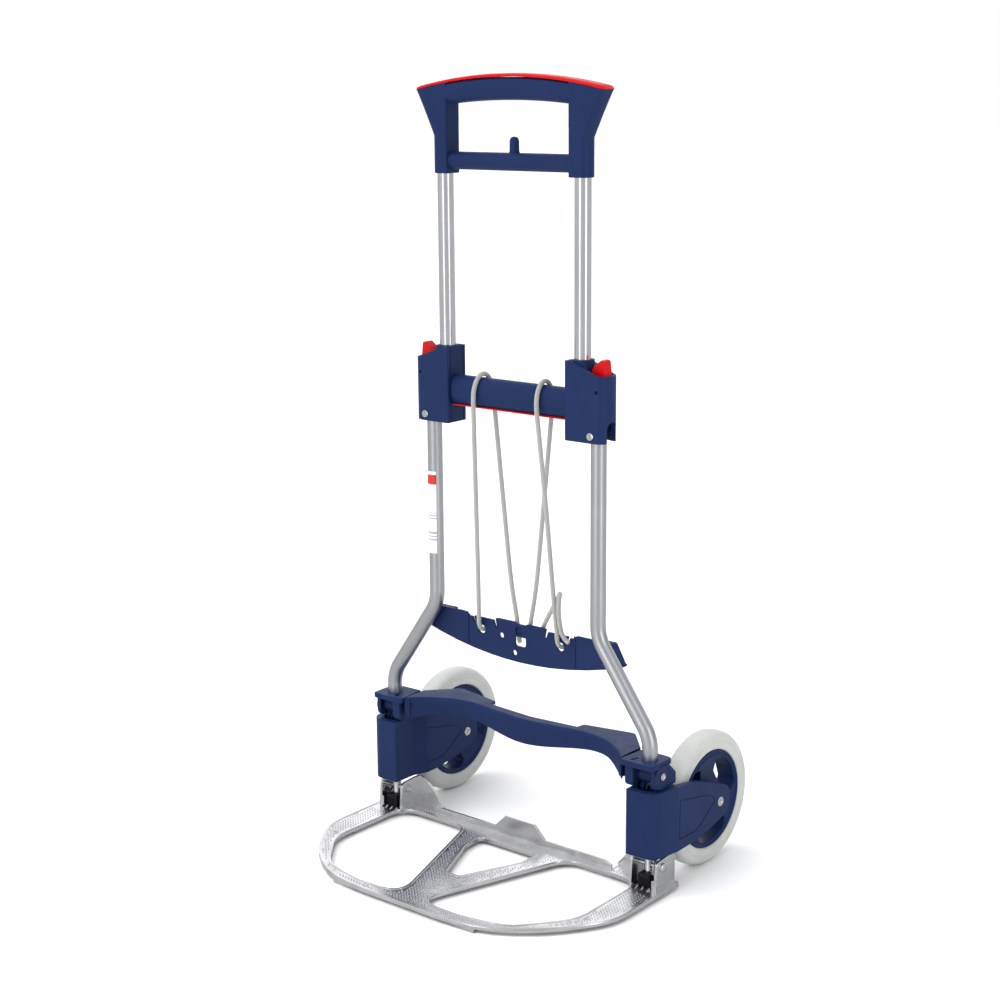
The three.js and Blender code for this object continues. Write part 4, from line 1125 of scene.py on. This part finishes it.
def tread(outer, holes):
    """Rows of short raised ribs that run across the plate at a slant, wherever there is room for them."""
    points, faces = [], []
    pitch, row, length, width, height = 8.4, 3.5, 6.2, 1.2, 0.95
    u, v = Vector((1, -1)).normalized(), Vector((1, 1)).normalized()
    rng = random.Random(7)
    for i in range(-110, 111):
        for j in range(-48, 49):
            at = u * ((j + 0.5 * (i % 2)) * pitch) + v * (i * row) + Vector((0, -104))
            if abs(at.x) > 240 or not -237 < at.y < 12:
                continue
            ends = [at + u * (s * length / 2) for s in (1, -1)]
            if not all(inside(outer, e) and distance_to(outer, e) > 5.5 for e in ends):
                continue
            if any(inside(h, at) or min(distance_to(h, e) for e in (*ends, at)) < 5.0 for h in holes):
                continue
            if any(abs(e.x) > 190 and e.y > -30 for e in ends):
                continue
            base, lift = len(points), height * (0.9 + 0.2 * rng.random())
            for du, dv, z in ((1, 1, -0.3), (1, -1, -0.3), (-1, -1, -0.3), (-1, 1, -0.3)):
                p = at + u * (du * length / 2) + v * (dv * width)
                points.append((p.x, p.y, PLATE_TOP + z))
            for du, dv in ((1, 1), (1, -1), (-1, -1), (-1, 1)):
                p = at + u * (du * (length / 2 - 0.7)) + v * (dv * width * 0.3)
                points.append((p.x, p.y, PLATE_TOP + lift))
            faces += [tuple(base + k for k in f) for f in
                      ((4, 5, 6, 7), (0, 1, 5, 4), (1, 2, 6, 5), (2, 3, 7, 6), (3, 0, 4, 7), (3, 2, 1, 0))]
    return outward(points, faces)


def make_toe_plate():
    outer, border = bordered(mirrored(EDGE), 4.6)
    window = corners(WINDOW)
    holes = [window, [(-a, b) for a, b in window], corners(mirrored(TRIANGLE))]
    plate = slab("XY", outer, PLATE_UNDER, PLATE_TOP, 1.5, holes, 4)
    between = [(s * IN_CHEEK[1], s * OUT_CHEEK[0]) for s in (1, -1)]
    gaps = [slab("XY", oblong(near, -14.5, far, 40), -2, 60, 0) for near, far in between]
    bolt_way = rod("X", (0, 0, HINGE_Z), BOLT_BORE, -260, 260, 0, 24)
    parts = [carved(plate, gaps)]
    cheek = corners([(-15, 7), (PLATE_BACK, 7), (PLATE_BACK, 50, 3), (14, 50, 4), (-12, 48, 8)])
    gusset = corners([(150, 7), (150, 12, 1), (169, 35, 6), (179, 43, 4), (192, 50, 3), (196, 50), (196, 7)])
    foot_rib = corners([(-24, 9), (-14.8, 9), (-14.8, 13, 1), (-17, 13, 1)])
    stud = [(2.6, 0), (3.9, 0), (3.9, 0.9), (3.5, 1.1), (2.9, 1.1), (2.6, 0.9), (2.6, 0)]
    for s in (1, -1):
        for faces in (OUT_CHEEK, IN_CHEEK):
            parts.append(carved(slab("YZ", cheek, *sorted(s * x for x in faces), 0.7), [bolt_way]))
        parts.append(slab("XZ", [(s * a, b) for a, b in gusset], PLATE_BACK - 3.5, PLATE_BACK, 0.8))
        # short stiffening ribs in front of the foot block, and the strap beside the bolt
        for k in range(4):
            x = 202 + 8.5 * k
            parts.append(slab("YZ", foot_rib, s * x - 1, s * x + 1, 0.4))
        strap = corners([(s * 229.4, 8), (s * 233.6, 8), (s * 233.6, 24, 1), (s * 229.4, 22, 1)])
        parts.append(slab("XZ", strap, -14.6, -12.4, 0.7))
        for x, y in ((214, -128), (-66, -226), (120, 1.5)):
            parts.append(turned("Z", (s * x, y, PLATE_TOP - 0.4), stud, 28))
        parts.append(slab("XY", oblong(s * 206, -100, s * 234, -34, 4), 0.2, PLATE_UNDER + 0.4, 0.6))
    wall = corners(mirrored([(152, 6), (152, 15, 1), (140, 20, 3), (43, 20, 3), (25, 38, 2)]))
    parts.append(slab("XZ", wall, 7, 10.5, 0.7))
    parts.append(slab("XY", oblong(-118, -231, 118, -223), 0.2, PLATE_UNDER + 0.4, 0.5))
    boss = [(4.6, 0), (6, 0), (6, 1), (5.5, 1.2), (5, 1.2), (4.6, 1), (4.6, 0)]
    parts.append(turned("Z", (-4, -152, PLATE_TOP - 0.4), boss, 32))
    # low raised borders round the plate and its windows
    low, high = PLATE_TOP - 0.6, PLATE_TOP + 0.6
    parts.append(carved(slab("XY", outer, low, high, 0.5, [border]), gaps))
    parts += [slab("XY", inset(leftward(h), -3.6), low, high, 0.5, [h]) for h in holes]
    parts.append(tread(outer, holes))
    piece("toe_plate_piece", joined(*parts), "cast", "toe_plate", "toe_plate")
    for side in SIDES:
        repaint("plate_gear_" + side, "cast_gear")


def make_bolts():
    profile = [(0, 239.6), (1.2, 239.6), (1.6, 240.4), (4.2, 240.3), (5.6, 239.3), (6.2, 237.9),
               (6.2, 237.3), (3, 237.3), (3, 189), (2.4, 188.6), (0, 188.6)]
    bolt = turned("X", (0, 0, HINGE_Z), profile, 40)
    pair("pivot_bolt_piece_{side}", bolt, "zinc", "toe_plate", "pivot_bolt_{side}")
    nut_r, turns = 9 * 0.62, [math.pi / 3 * k for k in range(6)]
    hexagon = [(nut_r * math.cos(t), HINGE_Z + nut_r * math.sin(t)) for t in turns]
    nut = carved(slab("YZ", hexagon, 190.5, 194.7, 0.5), [rod("X", (0, 0, HINGE_Z), 3.2, 185, 199, 0, 24)])
    pair("pivot_nut_piece_{side}", nut, "zinc", "toe_plate", "pivot_nut_{side}")


make_toe_plate()
make_bolts()


# ------------------------------------------------------------------ label on the left side tube
def make_label():
    low, high, inner, outer = 392, 504, LOWER_R + 0.3, LOWER_R + 0.55
    LOOK["label"] = printed_label(low * MM, high * MM)
    angles = [1.15 * math.pi + 0.6 * math.pi * k / 24 for k in range(25)]
    line = [(-LOWER_X + outer * math.cos(a), outer * math.sin(a)) for a in angles]
    line += [(-LOWER_X + inner * math.cos(a), inner * math.sin(a)) for a in reversed(angles)]
    piece("tube_label_piece", slab("XY", line, low, high, 0), "label", "frame", "tube_label")


make_label()


# ------------------------------------------------------------------ floor, light and background
def make_world():
    """White to the camera, and for all else a bright room with a few darker stretches of wall."""
    world = bpy.data.worlds.new("studio")
    bpy.context.scene.world = world
    world.use_nodes = True
    tree = world.node_tree
    make, link = tree.nodes.new, tree.links.new
    place, split = make("ShaderNodeTexCoord"), make("ShaderNodeSeparateXYZ")
    link(place.outputs["Generated"], split.inputs["Vector"])
    angle = make("ShaderNodeMath")
    angle.operation = "ARCTAN2"
    link(split.outputs["Y"], angle.inputs[0])
    link(split.outputs["X"], angle.inputs[1])
    share = make("ShaderNodeMapRange")
    share.inputs["From Min"].default_value, share.inputs["From Max"].default_value = -math.pi, math.pi
    link(angle.outputs[0], share.inputs["Value"])
    walls = make("ShaderNodeValToRGB")
    # a bright window in front and one on the right, dark wall between and beside them, a pale wall behind
    stops = [(0.0, 0.4), (0.15, 0.7), (0.22, 1.15), (0.27, 1.0), (0.34, 0.36), (0.4, 0.34), (0.45, 1.1),
             (0.49, 1.1), (0.56, 0.38), (0.63, 0.24), (0.8, 1.25), (0.9, 1.4), (1.0, 0.5)]
    for i, (at, value) in enumerate(stops):
        stop = walls.color_ramp.elements[i] if i < 2 else walls.color_ramp.elements.new(at)
        stop.position, stop.color = at, (value, value, value * 1.02, 1)
    link(share.outputs["Result"], walls.inputs["Fac"])
    height = make("ShaderNodeValToRGB")
    height.color_ramp.elements[0].position, height.color_ramp.elements[0].color = 0.25, (0, 0, 0, 1)
    height.color_ramp.elements[1].position, height.color_ramp.elements[1].color = 0.75, (1, 1, 1, 1)
    link(split.outputs["Z"], height.inputs["Fac"])
    mix = make("ShaderNodeMix")
    mix.data_type = "RGBA"
    link(height.outputs["Color"], mix.inputs["Factor"])
    link(walls.outputs["Color"], mix.inputs[6])
    mix.inputs[7].default_value = (0.62, 0.63, 0.65, 1)
    room, white = tree.nodes["Background"], make("ShaderNodeBackground")
    link(mix.outputs[2], room.inputs["Color"])
    white.inputs["Color"].default_value = (1, 1, 1, 1)
    ray, choose = make("ShaderNodeLightPath"), make("ShaderNodeMixShader")
    link(ray.outputs["Is Camera Ray"], choose.inputs["Fac"])
    link(room.outputs[0], choose.inputs[1])
    link(white.outputs[0], choose.inputs[2])
    link(choose.outputs[0], tree.nodes["World Output"].inputs["Surface"])


def make_studio():
    edge, drop = 30000, -0.2
    sheet = [(-edge, -edge, drop), (edge, -edge, drop), (edge, edge, drop), (-edge, edge, drop)]
    floor = as_object("studio_floor", (sheet, [(0, 1, 2, 3)]))
    n = Nodes("floor_paper").set(Roughness=0.9, Specular_IOR_Level=0.05)
    # glossy rays see the floor painted grey (0.4) instead of white: a painted darker reflection in the metal
    # parts, while camera and diffuse rays see white paper
    paper, paper_with_painted_reflection = n.grey(n.noise(3, 3, 0.5), 0.93, 0.94), n.make("ShaderNodeMix", data_type="RGBA")
    n.link(n.make("ShaderNodeLightPath").outputs["Is Glossy Ray"], paper_with_painted_reflection.inputs["Factor"])
    n.link(paper, paper_with_painted_reflection.inputs[6])
    paper_with_painted_reflection.inputs[7].default_value = (0.4, 0.4, 0.4, 1)
    n.to("Base Color", paper_with_painted_reflection.outputs[2])
    floor.data.materials.append(n.material)
    sun = bpy.data.lights.new("sky_panel", "SUN")
    sun.energy, sun.angle = 2.35, math.radians(70)
    lamp = bpy.data.objects.new("sky_panel", sun)
    lamp.rotation_euler = (math.radians(14), math.radians(-16), 0)
    lamp.visible_glossy = False
    bpy.context.scene.collection.objects.link(lamp)
    aim = Vector((0, 0, 0.45))
    lamps = [
        ("key", (-2.2, -2.6, 2.0), (1.2, 1.8), 26),
        ("side", (3.0, 0.2, 1.6), (0.9, 2.2), 16),
        # the strips are low and near, so that the upright tubes mirror them as two bright stripes
        ("strip_front", (-0.05, -1.6, 0.45), (0.4, 1.5), 2.6),
        ("strip_side", (1.57, -0.3, 0.45), (0.4, 1.5), 2.6),
    ]
    for name, at, size, power in lamps:
        data = bpy.data.lights.new(name, "AREA")
        data.shape, data.size, data.size_y, data.energy = "RECTANGLE", size[0], size[1], power
        lamp = bpy.data.objects.new(name, data)
        lamp.location = at
        lamp.visible_glossy = name.startswith("strip")
        lamp.visible_camera = False
        lamp.rotation_euler = (aim - Vector(at)).to_track_quat("-Z", "Y").to_euler()
        bpy.context.scene.collection.objects.link(lamp)
    bpy.context.scene.view_settings.view_transform = "Standard"


make_world()
make_studio()
